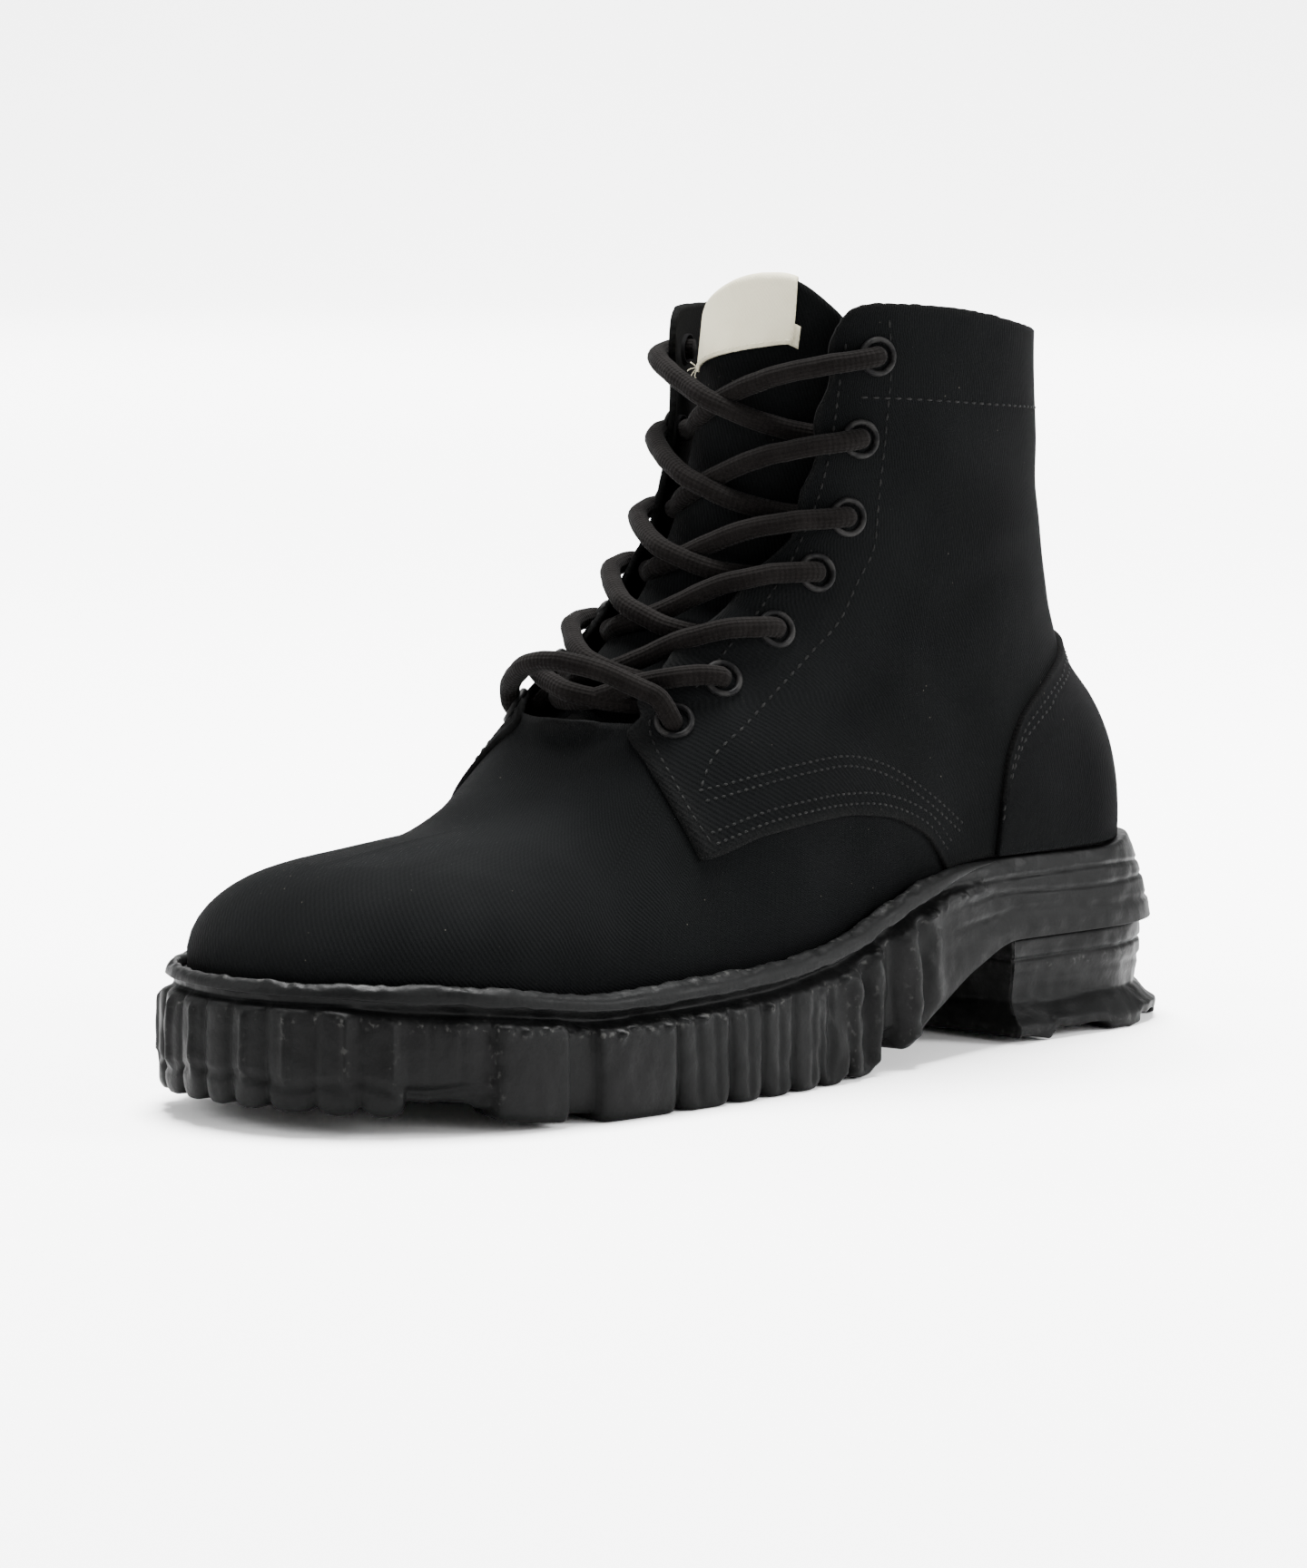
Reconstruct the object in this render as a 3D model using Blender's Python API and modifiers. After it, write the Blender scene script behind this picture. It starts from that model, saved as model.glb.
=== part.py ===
"""Black canvas lace-up derby boot for the left foot, at its real size.

The toe points along -Y, the outer side is +X, and the boot stands on Z = 0 with its origin under the
middle of its sole. Tables and named sizes are in millimetres; MM turns them into metres.
"""
import math

import bmesh
import bpy
import numpy as np

MM = 0.001
TINY = 1e-6
FAR_OUTSIDE = 50.0
RAY_REACH = 240.0
RAY_HALVINGS = 30
NORMAL_STEP = 0.5

# Driving sizes of the sole
SOLE_HALF_LENGTH = 143.0
TOE_ROUND = 50.0
HEEL_ROUND = 42.0
TOE_FULLNESS = 2.15
HEEL_FULLNESS = 2.3
BREAST = 73.0
HEEL_TOP = 24.7
LUG_DEPTH = 4.5
LUG_WIDTH = 14.0
LUG_PROUD = 1.2
WELT_TIP = 62.0
WELT_TAPER = 26.0
WELT_CLEAR = 0.9
INSOLE_THICK = 3.0
INSOLE_CLEAR = 1.8

# Driving sizes of the upper
WALL = 1.8
QUARTER_STEP = 1.2
SEAT_GAP = 0.35
FOOT_SQUARENESS = 2.4
SHAFT_FRONT_SQUARENESS = 2.0
SHAFT_BACK_SQUARENESS = 2.15
FOOT_SWELL = 0.05
INSTEP_BLEND = 0.12
TOE_BOX_ROUND = 30.0
LAST_CENTRE = np.array([0.0, 45.0, 72.0])
CURVE_RISE = (-60.0, 89.0)
SPLIT_MARGIN = 0.12
BACK_SPLIT = 0.46
BACK_ROWS_TURN = 0.6
INSTEP_START = np.array([0.0, -30.0, 50.0])
INSTEP_SLOPE = math.radians(35.0)

# Driving sizes of tongue, eyelets and lace
TONGUE_THICK = 2.2
TAPE_HALF = 20.0
TAPE_THICK = 0.7
TAPE_CLEAR = 0.15
EYELET_INNER = 3.2
EYELET_BARREL = 3.65
EYELET_OUTER = 4.7
EYELET_HOLE = 4.0
HOLE_REACH = 5.0
FLANGE_BASE = 1.2
FLANGE_RISE = 0.9
BARREL_END = 0.8
LACE_RADIUS = 2.7
LACE_CLEAR = 1.3
LACE_BAR_CLEAR = 0.7
LACE_OVER_LIFT = 2.4
LACE_ARCH = 2.5
THROAT_LIFT = 6.0


class Table:
    """Rows with named columns, read between the rows by a smooth curve that adds no waves."""

    def __init__(self, columns, *rows):
        names = columns.split()
        self.key = np.array([row[0] for row in rows], float)
        self.columns = {name: np.array([row[i] for row in rows], float) for i, name in enumerate(names)}

    def __call__(self, column, at):
        values = self.columns[column]
        at = np.clip(np.asarray(at, float), self.key[0], self.key[-1])
        step = np.diff(self.key)
        slope = np.diff(values) / step
        tangent = np.zeros_like(values)
        product = slope[:-1] * slope[1:]
        total = np.where(product > 0, slope[:-1] + slope[1:], 1.0)
        tangent[1:-1] = np.where(product > 0, 2 * product / total, 0.0)
        tangent[0] = slope[0]
        tangent[-1] = slope[-1]
        i = np.clip(np.searchsorted(self.key, at) - 1, 0, len(step) - 1)
        t = (at - self.key[i]) / step[i]
        rise = values[i + 1] - values[i]
        leave = tangent[i] * step[i] - rise
        arrive = tangent[i + 1] * step[i] - rise
        return values[i] + t * rise + t * (1 - t) * ((1 - t) * leave - t * arrive)


# Sole from toe to heel: middle line, half width, heights of top and tread, insets of the upper and the top rim
SOLE = Table(
    "y middle half top tread feather draft",
    (-143, -5.5, 45.5, 31.0, 5.5, 4.8, 0.3),
    (-120, -4.5, 46.8, 30.5, 4.0, 5.4, 0.4),
    (-95, -2.3, 49.5, 28.0, 1.5, 6.4, 0.6),
    (-75, -0.5, 51.0, 26.0, 0.0, 7.0, 0.8),
    (-50, 2.0, 50.2, 26.5, 0.0, 7.0, 1.0),
    (-25, 4.5, 47.5, 27.5, 0.0, 6.5, 1.0),
    (0, 6.0, 43.5, 30.5, 0.0, 6.0, 1.2),
    (20, 6.0, 40.5, 36.0, 3.0, 5.8, 1.5),
    (38, 5.0, 39.0, 41.0, 12.0, 6.0, 2.0),
    (55, 3.0, 38.5, 44.0, 20.0, 6.5, 2.5),
    (72, 1.0, 39.0, 44.5, 25.0, 7.0, 3.0),
    (101, 0.0, 40.5, 44.0, 25.0, 7.5, 3.5),
    (143, 0.0, 41.0, 43.0, 25.0, 13.0, 6.0),
)

# The foot's ridge from toe to heel: height above the floor, and how far it leans to the inner side
FOOT = Table(
    "y ridge lean",
    (-137, 50.0, 0.0),
    (-120, 54.0, 0.0),
    (-100, 57.0, 0.5),
    (-80, 58.5, 1.0),
    (-67, 61.0, 1.5),
    (-53, 69.0, 2.0),
    (-45, 76.0, 2.5),
    (-33, 89.0, 3.5),
    (-18, 102.5, 4.0),
    (5, 114.0, 4.0),
    (40, 112.0, 4.0),
    (80, 100.0, 1.0),
    (130, 80.0, 0.0),
)

# Level ovals of the shaft from heel seat to above the collar: back, front and half width
SHAFT = Table(
    "z back front half",
    (25, 129.0, 60.0, 32.0),
    (44, 130.0, 40.0, 33.5),
    (56, 129.5, 20.0, 35.0),
    (66, 127.5, -10.0, 36.0),
    (76, 124.0, -32.0, 36.5),
    (84, 120.5, -44.0, 36.5),
    (94, 116.0, -37.0, 36.5),
    (103, 112.5, -27.0, 36.0),
    (115, 109.5, -14.5, 35.5),
    (128, 107.5, -5.0, 35.0),
    (146, 105.0, 1.5, 35.0),
    (166, 103.5, 6.0, 35.5),
    (177, 103.5, 8.0, 36.0),
    (200, 103.5, 10.0, 36.0),
)

# Facing edge in the side view, from throat to collar corner, then the collar from that corner to the back
FACING = Table(
    "z y",
    (83, -36.5),
    (89, -29.0),
    (98, -18.0),
    (109, -4.5),
    (121, 6.0),
    (133, 12.5),
    (146, 16.5),
    (160, 19.0),
    (170, 21.0),
    (180, 23.5),
)
COLLAR = Table("y z", (18.5, 169.0), (21.5, 174.5), (26.5, 177.0), (50, 175.5), (78, 171.0), (105, 166.5))

# Lower edge of the quarter in the side view, from the throat down its front corner and back to the welt
QUARTER = Table(
    "y z",
    (-47, 92.0),
    (-46.5, 78.0),
    (-45.5, 54.0),
    (-24, 58.0),
    (5, 60.0),
    (20, 58.5),
    (35, 53.5),
    (43, 46.0),
    (48, 38.0),
)

# Front edge of the heel counter in the side view, by height
COUNTER = Table("z y", (45, 62.0), (65, 70.5), (75, 80.0), (84, 96.0), (94, 113.0))
COUNTER_TURNS = (0, 7, 14, 21, 28, 35, 42, 50, 60, 72, 84, 94, 103, 109, 115)
COUNTER_BASE = 45.4
COUNTER_TOP = 95.0
HEEL_AXIS = 80.0
BACKSTAY_TOP = 166.0
BACKSTAY_HALF = 7.0

# Eyelets of one side in the side view, from the throat to the collar
EYELETS = (
    {"y": -31.5, "z": 83.0},
    {"y": -18.5, "z": 92.0},
    {"y": -2.0, "z": 102.5},
    {"y": 11.4, "z": 115.0},
    {"y": 21.0, "z": 127.5},
    {"y": 25.5, "z": 145.5},
    {"y": 30.0, "z": 164.5},
)

# Lugs along the outline from the toe's tip: where a zone starts and ends, its lugs and the gap between them
LUG_ZONES = (
    {"start": 6.0, "end": 48.0, "lugs": 4, "gap": 3.0},
    {"start": 69.0, "end": 120.0, "lugs": 2, "gap": 7.0},
    {"start": 121.0, "end": 176.0, "lugs": 5, "gap": 3.4},
    {"start": 178.0, "end": 214.0, "lugs": 2, "gap": 8.0},
)

WAIST_STATIONS = (46.0, 56.0, 65.0, 72.0, 84.0, 97.0)
TREAD_END = 30.0

# Finishes: colour, roughness, metallic
FINISHES = {
    "canvas": ((0.012, 0.013, 0.014), 0.92, 0.0),
    "rubber": ((0.018, 0.018, 0.019), 0.48, 0.0),
    "lace_cotton": ((0.020, 0.017, 0.016), 0.88, 0.0),
    "eyelet_black": ((0.030, 0.030, 0.032), 0.38, 0.6),
    "cream_tape": ((0.78, 0.75, 0.66), 0.85, 0.0),
    "insole_board": ((0.030, 0.029, 0.028), 0.90, 0.0),
}


def clear_scene():
    """Removes what the file holds, so that the model can be built again."""
    for old in list(bpy.data.objects):
        bpy.data.objects.remove(old, do_unlink=True)


def make_collection(name):
    """Returns a new collection in the scene."""
    group = bpy.data.collections.new(name)
    bpy.context.scene.collection.children.link(group)
    return group


def make_material(name):
    """Returns the named finish as a Principled material."""
    if name in bpy.data.materials:
        return bpy.data.materials[name]
    colour, roughness, metallic = FINISHES[name]
    material = bpy.data.materials.new(name)
    material.use_nodes = True
    shader = material.node_tree.nodes["Principled BSDF"]
    shader.inputs["Base Color"].default_value = (*colour, 1.0)
    shader.inputs["Roughness"].default_value = roughness
    shader.inputs["Metallic"].default_value = metallic
    material.diffuse_color = (*colour, 1.0)
    return material


def sheet(points, wrap_columns=False, wrap_rows=False):
    """Bends a grid through points, given as rows of columns, and merges its seams."""
    rows, columns = points.shape[:2]
    across = columns - 1 + int(wrap_columns)
    along = rows - 1 + int(wrap_rows)
    bm = bmesh.new()
    bmesh.ops.create_grid(bm, x_segments=across, y_segments=along, size=0.5)
    for vertex in bm.verts:
        column = round((vertex.co.x + 0.5) * across) % columns
        row = round((vertex.co.y + 0.5) * along) % rows
        vertex.co = points[row, column] * MM
    bmesh.ops.remove_doubles(bm, verts=bm.verts, dist=1e-6)
    bmesh.ops.recalc_face_normals(bm, faces=bm.faces)
    return bm


def outward_sheet(points, wrap_columns=False):
    """Bends an open grid through points and turns its faces away from the last's centre."""
    bm = sheet(points, wrap_columns)
    bm.normal_update()
    centre = LAST_CENTRE * MM
    away = sum(float(np.dot(np.array(face.calc_center_median()) - centre, face.normal)) for face in bm.faces)
    if away < 0:
        bmesh.ops.reverse_faces(bm, faces=bm.faces)
    return bm


def add_part(name, bm, finish, smooth_degrees=35.0):
    """Makes one named sub-part from a bmesh."""
    mesh = bpy.data.meshes.new(name)
    bm.to_mesh(mesh)
    bm.free()
    mesh.shade_smooth()
    mesh.set_sharp_from_angle(angle=math.radians(smooth_degrees))
    part = bpy.data.objects.new(name, mesh)
    part.data.materials.append(make_material(finish))
    PARTS.objects.link(part)
    return part


def add_cutter(name, mesh):
    """Makes a hidden object that cuts or joins a part."""
    cutter = bpy.data.objects.new(name, mesh)
    cutter.hide_render = True
    cutter.display_type = "WIRE"
    CUTTERS.objects.link(cutter)
    return cutter


def add_boolean(part, cutter, operation):
    """Cuts or joins a part by another mesh."""
    change = part.modifiers.new(operation.title(), "BOOLEAN")
    change.operation = operation
    change.solver = "EXACT"
    change.object = cutter


def add_wall(part, thickness):
    """Gives an open surface its wall, inwards from its outer face."""
    wall = part.modifiers.new("Wall", "SOLIDIFY")
    wall.thickness = thickness * MM
    wall.offset = -1.0


def end_cap(y, toe_inset, heel_inset):
    """Returns how far the outline has opened at y: 0 at the toe's and heel's ends and 1 between them."""
    toe_centre = -SOLE_HALF_LENGTH + TOE_ROUND
    heel_centre = SOLE_HALF_LENGTH - HEEL_ROUND
    toe = np.clip((toe_centre - y) / (TOE_ROUND - toe_inset), 0, 1)
    heel = np.clip((y - heel_centre) / (HEEL_ROUND - heel_inset), 0, 1)
    toe_open = (1 - toe**TOE_FULLNESS) ** (1 / TOE_FULLNESS)
    heel_open = (1 - heel**HEEL_FULLNESS) ** (1 / HEEL_FULLNESS)
    return toe_open * heel_open


def foot_form(x, y, z):
    """Returns a value below 1 inside the foot part of the last."""
    toe_inset = SOLE.columns["feather"][0]
    heel_inset = SOLE.columns["feather"][-1]
    opened = end_cap(y, toe_inset, heel_inset)
    half = (SOLE("half", y) - SOLE("feather", y)) * opened
    base = SOLE("top", y)
    toe_box = np.clip((-SOLE_HALF_LENGTH + toe_inset + TOE_BOX_ROUND - y) / TOE_BOX_ROUND, 0, 1)
    rise = (FOOT("ridge", y) - base) * (1 - toe_box**FOOT_SQUARENESS) ** (1 / FOOT_SQUARENESS)
    up = np.maximum(z - base, 0) / np.maximum(rise, TINY)
    level = np.clip(up, 0, 1)
    swell = 1 + FOOT_SWELL * 4 * level * (1 - level)
    middle = SOLE("middle", y) - FOOT("lean", y) * level
    across = np.abs(x - middle) / np.maximum(half * swell, TINY)
    across = np.where(opened > 0, np.minimum(across, FAR_OUTSIDE), FAR_OUTSIDE)
    up = np.minimum(up, FAR_OUTSIDE)
    return (across**FOOT_SQUARENESS + up**FOOT_SQUARENESS) ** (1 / FOOT_SQUARENESS)


def shaft_form(x, y, z):
    """Returns a value below 1 inside the shaft and heel part of the last."""
    back = SHAFT("back", z)
    front = SHAFT("front", z)
    centre = (back + front) / 2
    along = np.abs(y - centre) / ((back - front) / 2)
    across = np.abs(x) / SHAFT("half", z)
    squareness = np.where(y < centre, SHAFT_FRONT_SQUARENESS, SHAFT_BACK_SQUARENESS)
    return (across**squareness + along**squareness) ** (1 / squareness)


def last_form(points):
    """Returns a value below 1 inside the last: foot and shaft run into each other over the instep."""
    x, y, z = points[..., 0], points[..., 1], points[..., 2]
    foot = foot_form(x, y, z)
    shaft = shaft_form(x, y, z)
    overlap = np.maximum(INSTEP_BLEND - np.abs(foot - shaft), 0)
    return np.minimum(foot, shaft) - overlap**2 / (4 * INSTEP_BLEND)


def cast(origins, directions):
    """Returns where rays from inside the last meet its surface, by halving the stretch that holds it."""
    near = np.zeros(directions.shape[:-1])
    far = np.full(directions.shape[:-1], RAY_REACH)
    for _ in range(RAY_HALVINGS):
        middle = (near + far) / 2
        inside = last_form(origins + middle[..., None] * directions) < 1
        near = np.where(inside, middle, near)
        far = np.where(inside, far, middle)
    return origins + near[..., None] * directions


def last_normals(points):
    """Returns the outward directions of the last's surface."""
    steps = np.eye(3) * NORMAL_STEP
    gradient = [last_form(points + step) - last_form(points - step) for step in steps]
    gradient = np.stack(gradient, axis=-1)
    return gradient / np.linalg.norm(gradient, axis=-1, keepdims=True)


def side_point(side, y, z):
    """Returns the last's surface at a place of the side view, on one side of the boot."""
    origin = np.array([0.0, y, z])
    return cast(origin, np.array([float(side), 0.0, 0.0]))


CLIMB = np.array([0.0, math.sin(INSTEP_SLOPE), math.cos(INSTEP_SLOPE)])
AHEAD = np.array([0.0, -math.cos(INSTEP_SLOPE), math.sin(INSTEP_SLOPE)])


def front_point(x, climb):
    """Returns the last's surface over the instep, by its place across and its climb from throat to collar."""
    x = np.asarray(x, float)
    sideways = x[..., None] * np.array([1.0, 0.0, 0.0])
    origins = INSTEP_START + np.asarray(climb, float)[..., None] * CLIMB + sideways
    return cast(origins, np.broadcast_to(AHEAD, origins.shape))


def level_point(x, z):
    """Returns the last's surface ahead of the shaft's axis, by its place across and its height."""
    origins = np.stack([x, np.full_like(x, LAST_CENTRE[1]), z], axis=-1)
    return cast(origins, np.broadcast_to([0.0, -1.0, 0.0], origins.shape))


class Outline:
    """The sole's outline from the toe's tip to the heel's back, on its outer and inner sides."""

    SAMPLES = 3000

    def __init__(self):
        turn = np.linspace(0, math.pi, self.SAMPLES)
        self.y = -SOLE_HALF_LENGTH * np.cos(turn)
        half = SOLE("half", self.y) * end_cap(self.y, 0.0, 0.0)
        self.sides = {}
        for side in (1, -1):
            x = SOLE("middle", self.y) + side * half
            dx = np.gradient(x)
            dy = np.gradient(self.y)
            size = np.hypot(dx, dy)
            self.sides[side] = (x, side * dy / size, -side * dx / size)
        x = self.sides[1][0]
        self.length = np.concatenate([[0], np.cumsum(np.hypot(np.diff(x), np.diff(self.y)))])

    def station(self, length):
        """Returns y at a length along the outline from the toe's tip."""
        return float(np.interp(length, self.length, self.y))

    def ring(self, stations, offset, height):
        """Returns one closed ring of points round the sole, moved out by an offset for each station."""
        y = np.asarray(stations)
        points = []
        for side in (1, -1):
            x, out_x, out_y = (np.interp(y, self.y, values) for values in self.sides[side])
            points.append(np.stack([x + out_x * offset, y + out_y * offset, height], axis=-1))
        return np.concatenate([points[0], points[1][-2:0:-1]])

    def spine(self, stations, height, margin=48.0):
        """Returns the ring drawn together to the sole's middle line."""
        y = np.clip(stations, -SOLE_HALF_LENGTH + margin, SOLE_HALF_LENGTH - margin)
        line = np.stack([SOLE("middle", y), y, height(y)], axis=-1)
        return np.concatenate([line, line[-2:0:-1]])


def tread_stations(outline):
    """Returns the stations along the sole and, for each, 1 on a lug and 0 in a gap."""
    slope = 0.7
    toe_lug = 4.4
    plain_pitch = 8.0
    rows = [(0.0, 1.0), (toe_lug, 1.0), (toe_lug + slope, 0.0)]
    end = rows[-1][0]
    for zone in LUG_ZONES:
        for plain in np.arange(end + plain_pitch, zone["start"] - plain_pitch / 2, plain_pitch):
            rows.append((plain, 0.0))
        pitch = (zone["end"] - zone["start"]) / zone["lugs"]
        for i in range(zone["lugs"]):
            start = zone["start"] + i * pitch + zone["gap"] / 2
            finish = start + pitch - zone["gap"]
            rows += [(start - slope, 0.0), (start, 1.0), (finish, 1.0), (finish + slope, 0.0)]
        end = rows[-1][0]
    lengths = [(outline.station(length), lug) for length, lug in rows]
    rear = [(y, 0.0) for y in WAIST_STATIONS]
    turn = np.linspace(0.25, 1.0, 9) * math.pi / 2
    back = SOLE_HALF_LENGTH - HEEL_ROUND + HEEL_ROUND * np.sin(turn)
    rear += [(float(y), 0.0) for y in back]
    stations = np.array([y for y, _ in lengths + rear])
    lugs = np.array([lug for _, lug in lengths + rear])
    stations[0] = -SOLE_HALF_LENGTH
    stations[-1] = SOLE_HALF_LENGTH
    return stations, lugs


def build_outsole(outline):
    """Outsole: a thick wall with a groove under its lip, ribs, lugs round its rim and a raised waist."""
    stations, lugs = tread_stations(outline)
    top = SOLE("top", stations)
    tread = SOLE("tread", stations)
    treaded = stations < TREAD_END
    bottom = tread + np.where(treaded, (1 - lugs) * LUG_DEPTH, 0.0)
    rib = np.where(treaded, LUG_PROUD * (2 * lugs - 1), 0.0)
    recess = tread + np.where(treaded, LUG_DEPTH, 0.0)
    wall_low = np.minimum(bottom + 4.5, top - 11.5)

    def spine_recess(y):
        return SOLE("tread", y) + np.where(y < TREAD_END, LUG_DEPTH, 0.0)

    def wall_ring(offset, height):
        lean = SOLE("draft", stations) * (height - tread) / (top - tread)
        return outline.ring(stations, offset - lean, height)

    rings = (
        outline.spine(stations, lambda y: SOLE("top", y)),
        wall_ring(-0.8, top),
        wall_ring(0.3, top - 2.0),
        wall_ring(-2.0, top - 5.5),
        wall_ring(0.2 + 0.5 * rib, top - 8.0),
        wall_ring(0.8 + rib, wall_low),
        wall_ring(-0.6 + rib, bottom),
        outline.ring(stations, np.full_like(top, -LUG_WIDTH), bottom),
        outline.ring(stations, np.full_like(top, -LUG_WIDTH - 2.0), recess),
        outline.spine(stations, spine_recess),
    )
    return add_part("outsole", sheet(np.stack(rings), wrap_columns=True), "rubber")


def build_heel(outline):
    """Heel block under the seat: layers, a hollow side, a flared foot with lugs and a straight breast."""
    turn = np.linspace(0.0, math.pi / 2, 13)
    y = BREAST + (SOLE_HALF_LENGTH - BREAST) * np.sin(turn)
    lugs = np.array([1, 1, 0, 0, 1, 1, 0, 0, 1, 1, 0, 1, 1], float)
    notch = (1 - lugs) * LUG_DEPTH
    levels = (
        {"height": HEEL_TOP - 0.3, "out": -1.0, "lug": 0},
        {"height": 20.6, "out": -0.6, "lug": 0},
        {"height": 19.4, "out": -2.2, "lug": 0},
        {"height": 17.6, "out": -1.4, "lug": 0},
        {"height": 11.0, "out": -3.0, "lug": 0},
        {"height": 6.0, "out": 0.4, "lug": 0},
        {"height": 0.0, "out": 1.0, "lug": 1},
    )
    rings = []
    for level in levels:
        height = np.full_like(y, level["height"]) + notch * level["lug"]
        lean = SOLE("draft", y) * level["height"] / SOLE("top", y)
        rings.append(heel_ring(outline, y, level["out"] - lean, height))
    inner = heel_ring(outline, y, np.full_like(y, -11.0), notch)
    recess = heel_ring(outline, y, np.full_like(y, -13.0), np.full_like(y, LUG_DEPTH))
    centre = np.array([0.0, (BREAST + SOLE_HALF_LENGTH) / 2, 0.0])
    top_centre = np.broadcast_to(centre + [0, 0, levels[0]["height"]], inner.shape)
    low_centre = np.broadcast_to(centre + [0, 0, LUG_DEPTH], inner.shape)
    rings = [top_centre, *rings, inner, recess, low_centre]
    return add_part("heel", sheet(np.stack(rings), wrap_columns=True), "rubber")


def heel_ring(outline, stations, offset, height):
    """Returns a ring round the heel: its outer side, back and inner side, closed by a straight breast."""
    both = outline.ring(stations, offset, height)
    count = len(stations)
    outer = both[:count]
    inner = np.concatenate([both[count - 1 : count], both[count:]])
    first_inner = outer[0] * [-1, 1, 1] + [2 * SOLE("middle", BREAST), 0, 0]
    loop = np.concatenate([outer, inner[1:], first_inner[None]])
    front = BREAST + 0.4 - 0.55 * offset[0]
    loop[:, 1] = np.maximum(loop[:, 1], front)
    return loop


def build_welt(outline):
    """Welt: the bead that lies on the sole's rim against the upper, from waist to waist round the toe."""
    longest = outline.length[np.searchsorted(outline.y, WELT_TIP)]
    lengths = np.concatenate([[0.0], np.linspace(7.0, longest, 27)])
    stations = np.array([outline.station(length) for length in lengths])
    stations[0] = -SOLE_HALF_LENGTH
    base = SOLE("top", stations) + SEAT_GAP
    feather = SOLE("feather", stations)
    taper = np.clip((WELT_TIP - stations) / WELT_TAPER, 0.12, 1.0)
    width = feather - QUARTER_STEP - WELT_CLEAR
    section = (
        {"in": 1.0, "up": 0.0},
        {"in": 0.22, "up": 0.0},
        {"in": 0.25, "up": 3.0},
        {"in": 0.55, "up": 4.6},
        {"in": 0.95, "up": 3.6},
    )
    strips = []
    for corner in section:
        offset = -width * corner["in"] * (0.4 + 0.6 * taper)
        both = outline.ring(stations, offset, base + corner["up"] * taper)
        count = len(stations)
        outer = both[:count]
        inner = both[count:]
        last = outer[-1:] * [-1, 1, 1] + [2 * SOLE("middle", stations[-1]), 0, 0]
        strips.append(np.concatenate([outer[::-1], inner[::-1], last]))
    strips = np.stack(strips, axis=1)
    ends = [np.broadcast_to(strip.mean(axis=0), strip.shape)[None] for strip in (strips[0], strips[-1])]
    strips = np.concatenate([ends[0], strips, ends[1]])
    return add_part("welt", sheet(strips, wrap_columns=True), "rubber")


def build_insole(outline):
    """Insole board that lies on the sole inside the upper."""
    turn = np.linspace(0, math.pi, 27)
    stations = -SOLE_HALF_LENGTH * np.cos(turn)
    inset = -(SOLE("feather", stations) + WALL + INSOLE_CLEAR)
    low = SOLE("top", stations) + SEAT_GAP
    rings = (
        outline.spine(stations, lambda y: SOLE("top", y) + SEAT_GAP),
        outline.ring(stations, inset, low),
        outline.ring(stations, inset, low + INSOLE_THICK),
        outline.spine(stations, lambda y: SOLE("top", y) + SEAT_GAP + INSOLE_THICK),
    )
    return add_part("insole", sheet(np.stack(rings), wrap_columns=True), "insole_board")


def beyond_topline(points):
    """Returns a value above 0 where a place of the side view lies in the throat or above the collar."""
    y, z = points[..., 1], points[..., 2]
    throat = np.minimum(z - FACING.key[0], FACING("y", z) - y)
    return np.maximum(throat, z - COLLAR("z", y))


def quarter_cover(points):
    """Returns a value above 0 where the quarter lies over the vamp."""
    y, z = points[..., 1], points[..., 2]
    return np.where(y < QUARTER.key[0], -1.0, z - QUARTER("z", y))


def first_crossing(values, lengths):
    """Returns the length along a curve at which values first turn positive, or None."""
    above = np.flatnonzero(values > 0)
    if len(above) == 0 or above[0] == 0:
        return None
    i = above[0]
    part = -values[i - 1] / (values[i] - values[i - 1])
    return lengths[i - 1] + part * (lengths[i] - lengths[i - 1])


def upper_columns():
    """Returns the plan angles of the upper's columns, from the toe round the outer side and the back."""
    stretches = (
        {"start": 0, "end": 8, "columns": 2},
        {"start": 8, "end": 30, "columns": 5},
        {"start": 30, "end": 44, "columns": 7},
        {"start": 44, "end": 60, "columns": 3},
        {"start": 60, "end": 140, "columns": 6},
        {"start": 140, "end": 180, "columns": 6},
    )
    half = [np.linspace(part["start"], part["end"], part["columns"], endpoint=False) for part in stretches]
    half = np.concatenate([*half, [180.0]])
    return np.radians(np.concatenate([half, 360 - half[-2:0:-1]]))


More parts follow.
